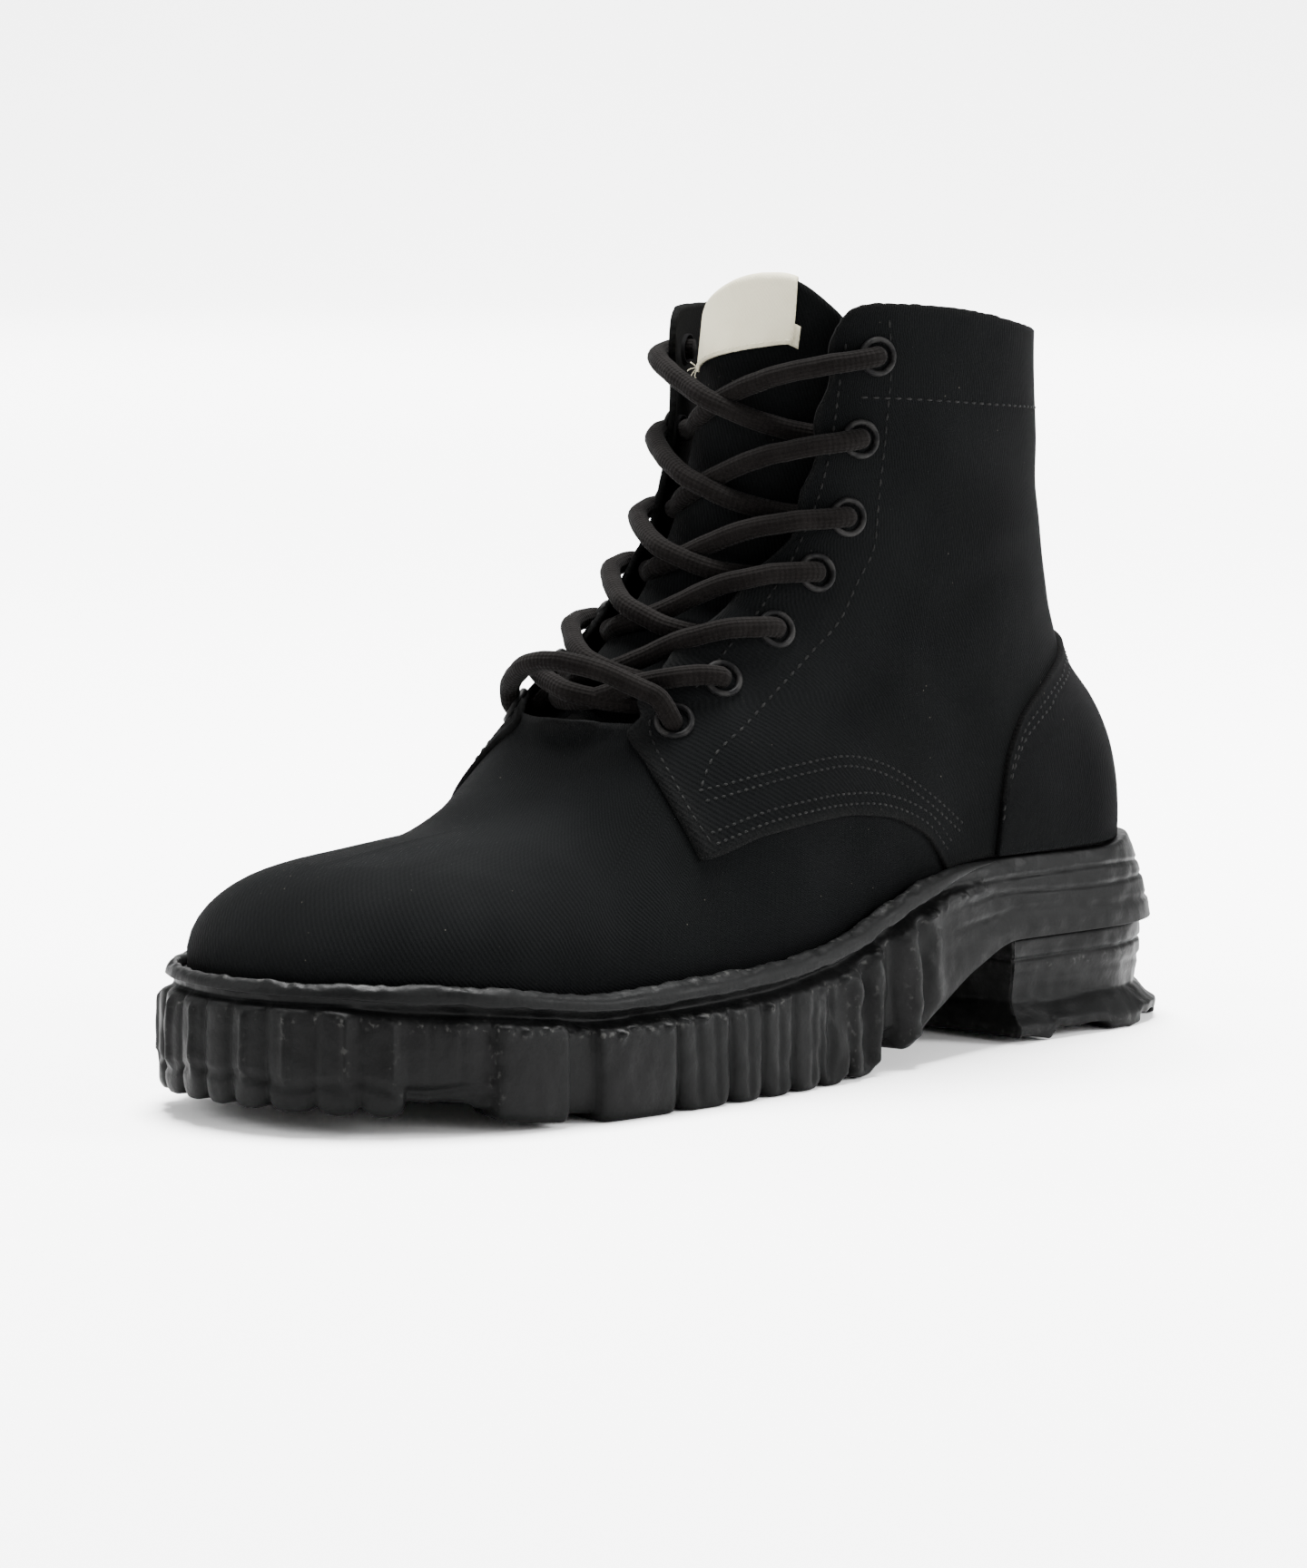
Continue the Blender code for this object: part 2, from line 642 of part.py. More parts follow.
def build_upper():
    """Upper: one canvas wall, open at collar, throat and underneath, with a step where the quarters begin."""
    vamp_shares = np.array([0.0, 0.08, 0.2, 0.42, 0.7, 1.0])
    vamp_rows, quarter_rows = len(vamp_shares), 7
    rises = np.radians(np.linspace(*CURVE_RISE, 160))
    columns = []
    for angle in upper_columns():
        plan = np.array([math.sin(angle), -math.cos(angle), 0.0])
        directions = np.cos(rises)[:, None] * plan + np.sin(rises)[:, None] * np.array([0.0, 0.0, 1.0])
        curve = cast(LAST_CENTRE, directions)
        lengths = np.concatenate([[0], np.cumsum(np.linalg.norm(np.diff(curve, axis=0), axis=1))])
        low = first_crossing(curve[:, 2] - SOLE("top", curve[:, 1]) - SEAT_GAP, lengths)
        high = first_crossing(beyond_topline(curve), lengths)
        edge = first_crossing(quarter_cover(curve), lengths)
        span = high - low
        steps = 0.0 if edge is None or edge < low + 0.03 * span or edge > high - 0.02 * span else 1.0
        if edge is None:
            edge = low if quarter_cover(curve[0]) > 0 or math.cos(angle) < 0 else high
        behind = np.clip(-math.cos(angle) / BACK_ROWS_TURN, 0, 1)
        lowest = SPLIT_MARGIN + (BACK_SPLIT - SPLIT_MARGIN) * behind * behind * (3 - 2 * behind)
        split = np.clip(edge, low + lowest * span, high - SPLIT_MARGIN * span)
        vamp = low + (split - low) * vamp_shares
        quarter = np.linspace(split + 0.5, high, quarter_rows)
        places = np.concatenate([vamp, quarter])
        points = np.stack([np.interp(places, lengths, curve[:, i]) for i in range(3)], axis=-1)
        covered = np.concatenate([np.zeros(vamp_rows), np.ones(quarter_rows)]) * steps
        if steps == 0.0:
            covered = np.full(len(places), 1.0 if edge < low + 0.5 * span else 0.0)
        columns.append(points + last_normals(points) * (covered * QUARTER_STEP)[:, None])
    upper = add_part("upper", outward_sheet(np.stack(columns, axis=1), wrap_columns=True), "canvas")
    add_wall(upper, WALL)
    add_boolean(upper, add_cutter("eyelet_holes", eyelet_hole_mesh()), "DIFFERENCE")
    return upper


def eyelet_foot(side, row):
    """Returns an eyelet's place on the last's surface."""
    return side_point(side, **EYELETS[row])


def eyelet_frame(side, row):
    """Returns an eyelet's centre on the quarter's face and its outward direction."""
    point = eyelet_foot(side, row)
    outward = last_normals(point)
    return point + outward * QUARTER_STEP, outward


def turned(profile, centre, outward, sides=8):
    """Turns a closed profile of radius and height round an axis through a centre."""
    helper = np.array([0.0, 0.0, 1.0])
    first = np.cross(helper, outward)
    first /= np.linalg.norm(first)
    second = np.cross(outward, first)
    rows = []
    for radius, height in profile:
        turn = np.arange(sides) * 2 * math.pi / sides
        circle = np.cos(turn)[:, None] * first + np.sin(turn)[:, None] * second
        rows.append(centre + outward * height + circle * radius)
    return np.stack(rows)


def eyelet_hole_mesh():
    """Returns the fourteen rods that cut the eyelet holes, as one mesh."""
    joined = bmesh.new()
    for side in (1, -1):
        for row in range(len(EYELETS)):
            centre, outward = eyelet_frame(side, row)
            wall = [(EYELET_HOLE, end) for end in (-HOLE_REACH, HOLE_REACH)]
            profile = ((0.0, -HOLE_REACH), *wall, (0.0, HOLE_REACH))
            rod = sheet(turned(profile, centre, outward), wrap_columns=True)
            piece = bpy.data.meshes.new("eyelet_hole")
            rod.to_mesh(piece)
            rod.free()
            joined.from_mesh(piece)
            bpy.data.meshes.remove(piece)
    mesh = bpy.data.meshes.new("eyelet_holes")
    joined.to_mesh(mesh)
    joined.free()
    return mesh


def build_eyelets():
    """Eyelets: a rolled flange on the quarter and a barrel through its wall."""
    profile = (
        (EYELET_INNER, -WALL - BARREL_END),
        (EYELET_INNER + 0.4, FLANGE_BASE + FLANGE_RISE),
        (EYELET_OUTER, FLANGE_BASE),
        (EYELET_BARREL, FLANGE_BASE),
        (EYELET_BARREL, -WALL - BARREL_END),
    )
    for side, name in ((1, "left"), (-1, "right")):
        for row in range(len(EYELETS)):
            centre, outward = eyelet_frame(side, row)
            ring = turned(profile, centre, outward)
            bm = sheet(ring, wrap_columns=True, wrap_rows=True)
            add_part(f"eyelet_{name}_{row + 1}", bm, "eyelet_black", smooth_degrees=50.0)


# Tongue from under the vamp to its top: climb over the instep, half width, depth under the upper's face
TONGUE = Table(
    "climb half depth",
    (-4, 20.0, 2.5),
    (6, 22.0, 2.6),
    (14, 25.0, 4.5),
    (24, 28.0, 7.8),
    (60, 32.0, 7.8),
    (105, 33.5, 7.8),
    (134, 33.0, 7.8),
)
TONGUE_TOP = TONGUE.key[-1]
TONGUE_EDGE_REACH = 30.0

# Top edge of the tongue from its inner to its outer corner: how far it drops below its peak
TONGUE_EDGE = Table("across drop", (-1.0, 8.0), (-0.6, 5.0), (-0.2, 2.0), (0.3, 0.0), (0.6, 0.5), (1.0, 6.5))


def tongue_point(across, climb):
    """Returns the tongue's outer face and its outward direction, by place across (-1 to 1) and climb."""
    share = np.clip((climb - TONGUE_TOP) / TONGUE_EDGE_REACH + 1, 0, 1)
    lowered = climb - TONGUE_EDGE("drop", across) * share
    point = front_point(across * TONGUE("half", climb), lowered)
    outward = last_normals(point)
    return point - outward * TONGUE("depth", climb)[..., None], outward


def build_tongue():
    """Tongue: a padded canvas sheet from under the vamp to above the collar."""
    climbs = np.linspace(TONGUE.key[0], TONGUE_TOP, 14)
    climb, across = np.meshgrid(climbs, np.linspace(-1, 1, 8), indexing="ij")
    points, _ = tongue_point(across, climb)
    tongue = add_part("tongue", outward_sheet(points), "canvas")
    add_wall(tongue, TONGUE_THICK)


def build_tape():
    """Tape folded over the tongue's top: a front flap, the fold and a shorter back flap."""
    out = SEAT_GAP + TAPE_CLEAR + TAPE_THICK
    back = -(TONGUE_THICK + out)
    fold = (
        {"below": 14.0, "out": out, "up": 0.0},
        {"below": 7.0, "out": out, "up": 0.0},
        {"below": 0.0, "out": out, "up": 0.0},
        {"below": 0.0, "out": 0.5 * out, "up": out},
        {"below": 0.0, "out": back + 0.5 * out, "up": out},
        {"below": 0.0, "out": back, "up": 0.0},
        {"below": 9.5, "out": back, "up": 0.0},
    )
    across = np.linspace(-1, 1, 8) * TAPE_HALF / TONGUE("half", TONGUE_TOP)
    rows = []
    for place in fold:
        climb = np.full_like(across, TONGUE_TOP - place["below"])
        point, outward = tongue_point(across, climb)
        below, _ = tongue_point(across, climb - 1.0)
        up = point - below
        up /= np.linalg.norm(up, axis=-1, keepdims=True)
        rows.append(point + outward * place["out"] + up * place["up"])
    add_wall(add_part("tongue_tape", outward_sheet(np.stack(rows)), "cream_tape"), TAPE_THICK)


OVERLAY_THICK = 1.3
OVERLAY_GAP = 1.1


def overlay(points):
    """Returns the outer face of a piece sewn on the quarter, over places of the last's surface."""
    return points + last_normals(points) * (QUARTER_STEP + OVERLAY_GAP + OVERLAY_THICK)


def heel_points(turn, heights):
    """Returns the last's surface round the heel, at a plan angle from straight back and at heights."""
    origins = np.stack([np.zeros_like(heights), np.full_like(heights, HEEL_AXIS), heights], axis=-1)
    return cast(origins, np.broadcast_to([math.sin(turn), math.cos(turn), 0.0], origins.shape))


def build_counter():
    """Heel counter: from its curved front edge on the outer side round the heel to the inner side."""
    levels = np.linspace(COUNTER_BASE, COUNTER_TOP, 100)
    columns = []
    for turn in np.radians(COUNTER_TURNS[:0:-1] + tuple(-turn for turn in COUNTER_TURNS)):
        beyond = COUNTER("y", levels) - heel_points(turn, levels)[:, 1]
        top = first_crossing(beyond, levels) or COUNTER_TOP
        columns.append(heel_points(turn, np.linspace(COUNTER_BASE, top, 5)))
    counter = add_part("counter", outward_sheet(overlay(np.stack(columns))), "canvas")
    add_wall(counter, OVERLAY_THICK)


def build_backstay():
    """Back strip over the rear seam, from the counter's top to the collar."""
    rows = []
    for z in np.linspace(COUNTER_TOP + 0.5, BACKSTAY_TOP, 9):
        x = np.linspace(-BACKSTAY_HALF, BACKSTAY_HALF, 4)
        origins = np.stack([x, np.full_like(x, HEEL_AXIS), np.full_like(x, z)], axis=-1)
        rows.append(cast(origins, np.broadcast_to([0.0, 1.0, 0.0], origins.shape)))
    backstay = add_part("backstay", outward_sheet(overlay(np.stack(rows))), "canvas")
    add_wall(backstay, OVERLAY_THICK)


def tube(name, points):
    """Returns a round cord along points as a closed mesh."""
    curve = bpy.data.curves.new(name, "CURVE")
    curve.dimensions = "3D"
    curve.bevel_depth = LACE_RADIUS * MM
    curve.bevel_resolution = 2
    curve.use_fill_caps = True
    spline = curve.splines.new("POLY")
    spline.points.add(len(points) - 1)
    for place, point in zip(spline.points, points):
        place.co = (*(point * MM), 1.0)
    guide = bpy.data.objects.new(name, curve)
    CUTTERS.objects.link(guide)
    depsgraph = bpy.context.evaluated_depsgraph_get()
    mesh = bpy.data.meshes.new_from_object(guide.evaluated_get(depsgraph))
    bpy.data.objects.remove(guide, do_unlink=True)
    bm = bmesh.new()
    bm.from_mesh(mesh)
    bmesh.ops.remove_doubles(bm, verts=bm.verts, dist=1e-5)
    bmesh.ops.recalc_face_normals(bm, faces=bm.faces)
    bm.to_mesh(mesh)
    bm.free()
    return mesh


def lace_route(start, finish, shares, heights):
    """Returns points between two eyelets, at shares of the way and heights over the last's surface."""
    x = start[0] + (finish[0] - start[0]) * shares
    z = start[2] + (finish[2] - start[2]) * shares
    points = level_point(x, z)
    return points + last_normals(points) * np.asarray(heights)[..., None]


def strand(side, row, lift):
    """Returns a lace from beside an eyelet, over the facing and down across the tongue to the other facing."""
    start = eyelet_foot(side, row)
    finish = eyelet_foot(-side, row - 1) + [0.0, 0.0, THROAT_LIFT if row == 1 else 0.0]
    shares = np.linspace(0, 1, 201)
    route = lace_route(start, finish, shares, np.zeros_like(shares))
    lengths = np.concatenate([[0], np.cumsum(np.linalg.norm(np.diff(route, axis=0), axis=1))])
    open_throat = np.flatnonzero(beyond_topline(route) > 0)
    near_edge, far_edge = lengths[open_throat[0]], lengths[open_throat[-1]]
    middle = (near_edge + far_edge) / 2
    over = QUARTER_STEP + LACE_RADIUS + LACE_CLEAR
    down = LACE_RADIUS + LACE_CLEAR - TONGUE("depth", TONGUE_TOP)
    stops = (
        {"at": EYELET_OUTER + 0.5, "height": over},
        {"at": (EYELET_OUTER + near_edge) / 2 + 1.0, "height": over},
        {"at": near_edge + 2.5, "height": over},
        {"at": near_edge + 6.5, "height": over - 2.0},
        {"at": near_edge + 0.7 * (middle - near_edge), "height": down + 1.2 + lift},
        {"at": middle, "height": down + lift},
        {"at": middle + 0.5 * (far_edge - middle), "height": down + 0.4 * lift},
        {"at": far_edge - 3.5, "height": down},
    )
    places = np.interp([stop["at"] for stop in stops], lengths, shares)
    return lace_route(start, finish, places, [stop["height"] for stop in stops])


def build_laces():
    """Lace: six crossings, each of two joined strands, and the bar over the bottom crossing."""
    for row in range(1, len(EYELETS)):
        name = f"lace_cross_{row}"
        over = add_cutter(f"{name}_over", tube(f"{name}_over", strand(-1, row, LACE_OVER_LIFT)))
        cross = add_lace(name, strand(1, row, 0.0))
        add_boolean(cross, over, "UNION")
    start = eyelet_foot(1, 0)
    finish = eyelet_foot(-1, 0)
    shares = np.linspace(0.1, 0.9, 11)
    arch = LACE_ARCH * np.sin(math.pi * shares)
    points = level_point(start[0] + (finish[0] - start[0]) * shares, start[2] + arch)
    add_lace("lace_bar", points + last_normals(points) * (QUARTER_STEP + LACE_RADIUS + LACE_BAR_CLEAR))


def add_lace(name, points):
    """Makes one node of the lace from the points that it follows."""
    bm = bmesh.new()
    bm.from_mesh(tube(name, points))
    return add_part(name, bm, "lace_cotton", smooth_degrees=60.0)


def main():
    """Builds every piece of the boot."""
    outline = Outline()
    build_outsole(outline)
    build_heel(outline)
    build_welt(outline)
    build_insole(outline)
    build_upper()
    build_tongue()
    build_tape()
    build_counter()
    build_backstay()
    build_eyelets()
    build_laces()


clear_scene()
PARTS = make_collection("canvas_boot")
CUTTERS = make_collection("cutters")
main()
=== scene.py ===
"""Looks of a black canvas lace-up boot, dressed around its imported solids.

The toe points along -Y, the outer side is +X and the boot stands on Z = 0. Sizes are in
millimetres; MM turns them into metres where a mesh or a light is made.
"""

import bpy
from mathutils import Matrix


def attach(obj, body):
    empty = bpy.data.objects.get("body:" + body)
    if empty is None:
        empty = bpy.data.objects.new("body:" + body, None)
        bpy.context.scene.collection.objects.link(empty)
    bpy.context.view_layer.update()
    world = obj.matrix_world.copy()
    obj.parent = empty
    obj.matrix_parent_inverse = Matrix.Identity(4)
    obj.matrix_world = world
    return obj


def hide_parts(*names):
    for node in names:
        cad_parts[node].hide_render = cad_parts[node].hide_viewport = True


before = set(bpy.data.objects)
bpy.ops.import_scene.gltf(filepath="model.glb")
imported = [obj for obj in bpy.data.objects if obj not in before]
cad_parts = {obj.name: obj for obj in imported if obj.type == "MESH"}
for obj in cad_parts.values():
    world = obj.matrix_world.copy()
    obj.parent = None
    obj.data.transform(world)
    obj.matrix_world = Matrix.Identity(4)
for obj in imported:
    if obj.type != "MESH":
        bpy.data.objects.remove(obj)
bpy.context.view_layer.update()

import logging
import math
from collections.abc import Callable, Sequence
from dataclasses import dataclass, field
from enum import Enum, IntEnum
from functools import partial
from typing import Any

import bmesh
import bpy
import numpy as np
from bmesh.types import BMesh
from bpy.types import Material, Node, NodeSocket, Object
from mathutils import Matrix, Vector, noise

LOG = logging.getLogger("boot")
MM = 0.001
TINY = 1e-6
FULL_TURN = 2 * math.pi
BODY = "root"
Array = np.ndarray
Triple = tuple[float, float, float]

# Place inside the boot that its cloth turns away from
MIDDLE: Triple = (0.0, 45.0, 72.0)


class Slot(Enum):
    """The record's material slots."""

    CANVAS = "canvas"
    RUBBER = "rubber"
    LACE = "lace_cotton"
    EYELET = "eyelet_black"
    TAPE = "cream_tape"
    INSOLE = "insole_board"


class Side(IntEnum):
    """The boot's two sides, by the sign of X."""

    OUTER = 1
    INNER = -1


def soft_tangents(steps: Array) -> Array:
    """Finds tangents that let a curve through stops add no waves of its own.

    Args:
        steps: Slope or change from each stop to the next.

    Returns:
        One tangent for each stop.
    """
    product = steps[:-1] * steps[1:]
    total = np.where(product > 0, steps[:-1] + steps[1:], 1.0)
    inner = np.where(product > 0, 2 * product / total, 0.0)
    return np.concatenate([steps[:1], inner, steps[-1:]])


class Table:
    """Rows with named columns, read between the rows by a smooth curve that adds no waves."""

    def __init__(self, columns: str, *rows: Sequence[float]) -> None:
        """Keeps the rows by column.

        Args:
            columns: Names of the columns, the first of which is the key.
            rows: One tuple of numbers for each row, with a rising key.
        """
        names = columns.split()
        self.key = np.array([row[0] for row in rows], float)
        self.columns = {name: np.array([row[i] for row in rows], float) for i, name in enumerate(names)}

    def __call__(self, column: str, at: Any) -> Array:
        """Reads a column.

        Args:
            column: Name of the column.
            at: Keys to read it at, held to the table's ends.

        Returns:
            The column's values there.
        """
        values = self.columns[column]
        at = np.clip(np.asarray(at, float), self.key[0], self.key[-1])
        step = np.diff(self.key)
        tangent = soft_tangents(np.diff(values) / step)
        i = np.clip(np.searchsorted(self.key, at) - 1, 0, len(step) - 1)
        t = (at - self.key[i]) / step[i]
        rise = values[i + 1] - values[i]
        leave = tangent[i] * step[i] - rise
        arrive = tangent[i + 1] * step[i] - rise
        return values[i] + t * rise + t * (1 - t) * ((1 - t) * leave - t * arrive)


def named(columns: str, *rows: Sequence[Any]) -> tuple[dict[str, Any], ...]:
    """Returns rows of values by the names of their columns."""
    return tuple(dict(zip(columns.split(), row)) for row in rows)


# Sole from toe to heel: middle line, half width, heights of top and tread, insets of upper and top rim
SOLE = Table(
    "y middle half top tread feather draft",
    (-143, -5.5, 45.5, 31.0, 5.5, 4.8, 0.3),
    (-120, -4.5, 46.8, 30.5, 4.0, 5.4, 0.4),
    (-95, -2.3, 49.5, 28.0, 1.5, 6.4, 0.6),
    (-75, -0.5, 51.0, 26.0, 0.0, 7.0, 0.8),
    (-50, 2.0, 50.2, 26.5, 0.0, 7.0, 1.0),
    (-25, 4.5, 47.5, 27.5, 0.0, 6.5, 1.0),
    (0, 6.0, 43.5, 30.5, 0.0, 6.0, 1.2),
    (20, 6.0, 40.5, 36.0, 3.0, 5.8, 1.5),
    (38, 5.0, 39.0, 41.0, 12.0, 6.0, 2.0),
    (55, 3.0, 38.5, 44.0, 20.0, 6.5, 2.5),
    (72, 1.0, 39.0, 44.5, 25.0, 7.0, 3.0),
    (101, 0.0, 40.5, 44.0, 25.0, 7.5, 3.5),
    (143, 0.0, 41.0, 43.0, 25.0, 13.0, 6.0),
)

# The foot's ridge from toe to heel: height above the floor, and how far it leans to the inner side
FOOT = Table(
    "y ridge lean",
    (-137, 50.0, 0.0), (-120, 54.0, 0.0), (-100, 57.0, 0.5), (-80, 58.5, 1.0), (-67, 61.0, 1.5),
    (-53, 69.0, 2.0), (-45, 76.0, 2.5), (-33, 89.0, 3.5), (-18, 102.5, 4.0), (5, 114.0, 4.0),
    (40, 112.0, 4.0), (80, 100.0, 1.0), (130, 80.0, 0.0),
)

# Level ovals of the shaft from heel seat to above the collar: back, front and half width
SHAFT = Table(
    "z back front half",
    (25, 129.0, 60.0, 32.0), (44, 130.0, 40.0, 33.5), (56, 129.5, 20.0, 35.0),
    (66, 127.5, -10.0, 36.0), (76, 124.0, -32.0, 36.5), (84, 120.5, -44.0, 36.5),
    (94, 116.0, -37.0, 36.5), (103, 112.5, -27.0, 36.0), (115, 109.5, -14.5, 35.5),
    (128, 107.5, -5.0, 35.0), (146, 105.0, 1.5, 35.0), (166, 103.5, 6.0, 35.5),
    (177, 103.5, 8.0, 36.0), (200, 103.5, 10.0, 36.0),
)

# Facing edge in the side view, from throat to collar corner, then the collar from that corner to the back
FACING = Table(
    "z y",
    (83, -36.5), (89, -29.0), (98, -18.0), (109, -4.5), (121, 6.0), (133, 12.5), (146, 16.5),
    (160, 19.0), (170, 21.0), (180, 23.5),
)
COLLAR = Table("y z", (18.5, 169.0), (21.5, 174.5), (26.5, 177.0), (50, 175.5), (78, 171.0), (105, 166.5))

# Lower edge of the quarter in the side view, from the throat down its front corner and back to the welt
QUARTER = Table(
    "y z",
    (-43.5, 92.0), (-42.8, 74.0), (-41, 54.0), (-21, 58.0), (7, 60.0), (23, 58.5), (38, 53.5),
    (47, 45.5), (52, 38.0),
)

# Front edge of the quarter in the side view, from its lower corner to the throat
QUARTER_FRONT = ((-41.0, 54.0), (-41.9, 60.0), (-41.9, 67.0), (-40.2, 76.0), (-37.2, 82.5))

# Front edge of the heel counter in the side view, by height
COUNTER = Table("z y", (45, 67.5), (56, 67.5), (66, 69.0), (76, 75.0), (85, 90.5), (94, 113.0))

# Eyelets of one side in the side view, from the throat to the collar
EYELETS = named(
    "y z",
    (-31.5, 83.0), (-18.5, 92.0), (-2.0, 102.5), (11.4, 115.0),
    (21.0, 127.5), (25.5, 145.5), (30.0, 164.5),
)

# Tongue from under the vamp to its top: climb over the instep, half width, depth under the upper's face
TONGUE = Table(
    "climb half depth",
    (-4, 20.0, 2.5), (6, 22.0, 2.6), (14, 25.0, 4.5), (24, 28.0, 7.8), (60, 32.0, 7.8),
    (105, 33.5, 7.8), (134, 33.0, 7.8),
)

# Top edge of the tongue from its inner to its outer corner: how far it drops below its peak
TONGUE_EDGE = Table(
    "across drop",
    (-1.0, 9.5), (-0.8, 6.0), (-0.65, 5.5), (-0.3, 5.0), (0.0, 3.6), (0.3, 1.5), (0.6, -0.6),
    (0.8, 0.4), (1.0, 5.0),
)

# Soft troughs of the upper in the side view: middle, half length, slope in degrees, half width, depth
CREASES = named(
    "side y z run slope width depth",
    (1, -6.0, 76.0, 30.0, 24.0, 9.0, 0.8), (1, 34.0, 100.0, 26.0, -38.0, 9.0, 0.8),
    (1, 70.0, 112.0, 26.0, 12.0, 9.0, 0.9), (1, 84.0, 134.0, 22.0, -14.0, 10.0, 0.7),
    (1, -62.0, 50.0, 18.0, 62.0, 7.0, 0.6), (-1, -4.0, 74.0, 30.0, 28.0, 9.0, 0.9),
    (-1, 40.0, 104.0, 28.0, -34.0, 10.0, 0.9), (-1, 76.0, 116.0, 26.0, 10.0, 9.0, 0.8),
    (-1, -58.0, 52.0, 20.0, 58.0, 7.0, 0.7),
)

# Lugs along the outline from the toe's tip: middle, half length, squareness, depth of the notch beside it
LUGS = named(
    "at half square notch",
    (0.0, 4.4, 2.6, 0.7), (8.9, 5.0, 2.6, 0.7), (19.4, 6.0, 2.8, 0.7),
    (30.0, 5.3, 2.6, 0.7), (39.8, 5.2, 2.4, 0.85), (74.0, 9.3, 12.0, 0.4),
    (102.5, 11.6, 12.0, 0.4), (122.8, 8.0, 5.0, 0.55), (136.3, 5.3, 3.0, 0.6),
    (146.8, 5.3, 3.0, 0.6), (157.0, 5.3, 3.0, 0.7), (167.0, 5.0, 3.0, 0.8),
    (180.0, 6.5, 2.4, 0.9), (200.0, 6.5, 2.4, 0.9),
)

# Thin upright ridges and grooves of the sole's wall: place along the outline, width, how far they stand out
WALL_LINES = named(
    "at width out",
    (8.0, 0.9, 1.3), (18.6, 0.9, 1.4), (32.0, 0.9, 1.3), (42.0, 0.9, 1.3), (25.5, 0.6, -0.3),
    (50.0, 0.7, -0.35), (57.0, 0.6, -0.3), (120.5, 0.9, -0.8), (126.0, 0.8, -0.7), (131.0, 0.8, -0.9),
    (136.5, 0.8, -0.7), (141.5, 0.8, -0.9), (147.0, 0.8, -0.6), (152.0, 0.9, -0.9), (159.0, 0.9, -0.6),
    (165.5, 1.0, -0.9), (174.5, 3.2, 1.7), (180.5, 2.0, -2.0), (185.5, 2.2, 1.5), (191.0, 3.0, -1.6),
    (199.0, 3.4, 1.8), (205.0, 2.0, -1.4), (211.0, 2.6, 0.8),
)


def smooth_step(low: float, high: float, value: Any) -> Array:
    """Returns a soft rise from 0 at low to 1 at high."""
    t = np.clip((np.asarray(value, float) - low) / (high - low), 0, 1)
    return t * t * (3 - 2 * t)


def hump(value: Any, centre: Any, width: float) -> Array:
    """Returns a soft bump of height 1 about a centre."""
    return np.exp(-(((np.asarray(value, float) - centre) / width) ** 2))


def unit(vectors: Array) -> Array:
    """Returns vectors drawn out or in to length 1."""
    return vectors / np.maximum(np.linalg.norm(vectors, axis=-1, keepdims=True), TINY)


def spot(x: Any, y: Any, z: Any) -> Array:
    """Returns places from their three measures."""
    return np.stack(np.broadcast_arrays(x, y, z), axis=-1)


def wander(points: Array, size: float, seed: float) -> Array:
    """Returns a soft random field, the same at each run, whose hills are about a size apart."""
    flat = (points.reshape(-1, 3) / size + seed).tolist()
    return np.array([noise.noise(place) for place in flat]).reshape(points.shape[:-1])


def run_lengths(points: Array, axis: int) -> Array:
    """Adds up the way along one axis of a grid of points.

    Args:
        points: Grid of places.
        axis: Axis to walk along.

    Returns:
        The length walked at each place.
    """
    steps = np.linalg.norm(np.diff(points, axis=axis), axis=-1)
    start = np.zeros_like(np.take(steps, [0], axis=axis))
    return np.concatenate([start, np.cumsum(steps, axis=axis)], axis=axis)


def along_path(path: Array, lengths: Array, at: Array) -> Array:
    """Returns places on a path at lengths along it."""
    return np.stack([np.interp(at, lengths, path[:, i]) for i in range(3)], axis=-1)


def even_path(points: Array, spacing: float) -> Array:
    """Draws a smooth curve through stops and walks it in even steps.

    Args:
        points: Stops in order.
        spacing: Length of a step.

    Returns:
        Points on the curve.
    """
    ends = np.concatenate([[2 * points[0] - points[1]], points, [2 * points[-1] - points[-2]]])
    t = np.linspace(0, 1, 24, endpoint=False)[:, None]
    fine = []
    for a, b, c, d in zip(ends, ends[1:], ends[2:], ends[3:]):
        fine.append(b + t / 2 * (c - a + t * (2 * a - 5 * b + 4 * c - d + t * (3 * (b - c) + d - a))))
    fine = np.concatenate([*fine, points[-1:]])
    walked = run_lengths(fine, 0)
    even = np.linspace(0, walked[-1], max(2, round(walked[-1] / spacing) + 1))
    return along_path(fine, walked, even)


def first_rise(values: Array, lengths: Array) -> Array:
    """Finds where values first turn positive along each row.

    Args:
        values: One row for each curve.
        lengths: The length along the curve at each value.

    Returns:
        The length there, 0 where a row starts positive and infinity where it never turns positive.
    """
    above = values > 0
    i = np.maximum(above.argmax(axis=1), 1)
    rows = np.arange(len(values))
    before, after = values[rows, i - 1], values[rows, i]
    share = np.clip(-before / np.where(after == before, 1.0, after - before), 0, 1)
    found = lengths[rows, i - 1] + share * (lengths[rows, i] - lengths[rows, i - 1])
    found = np.where(above[:, 0], 0.0, found)
    return np.where(above.any(axis=1), found, np.inf)


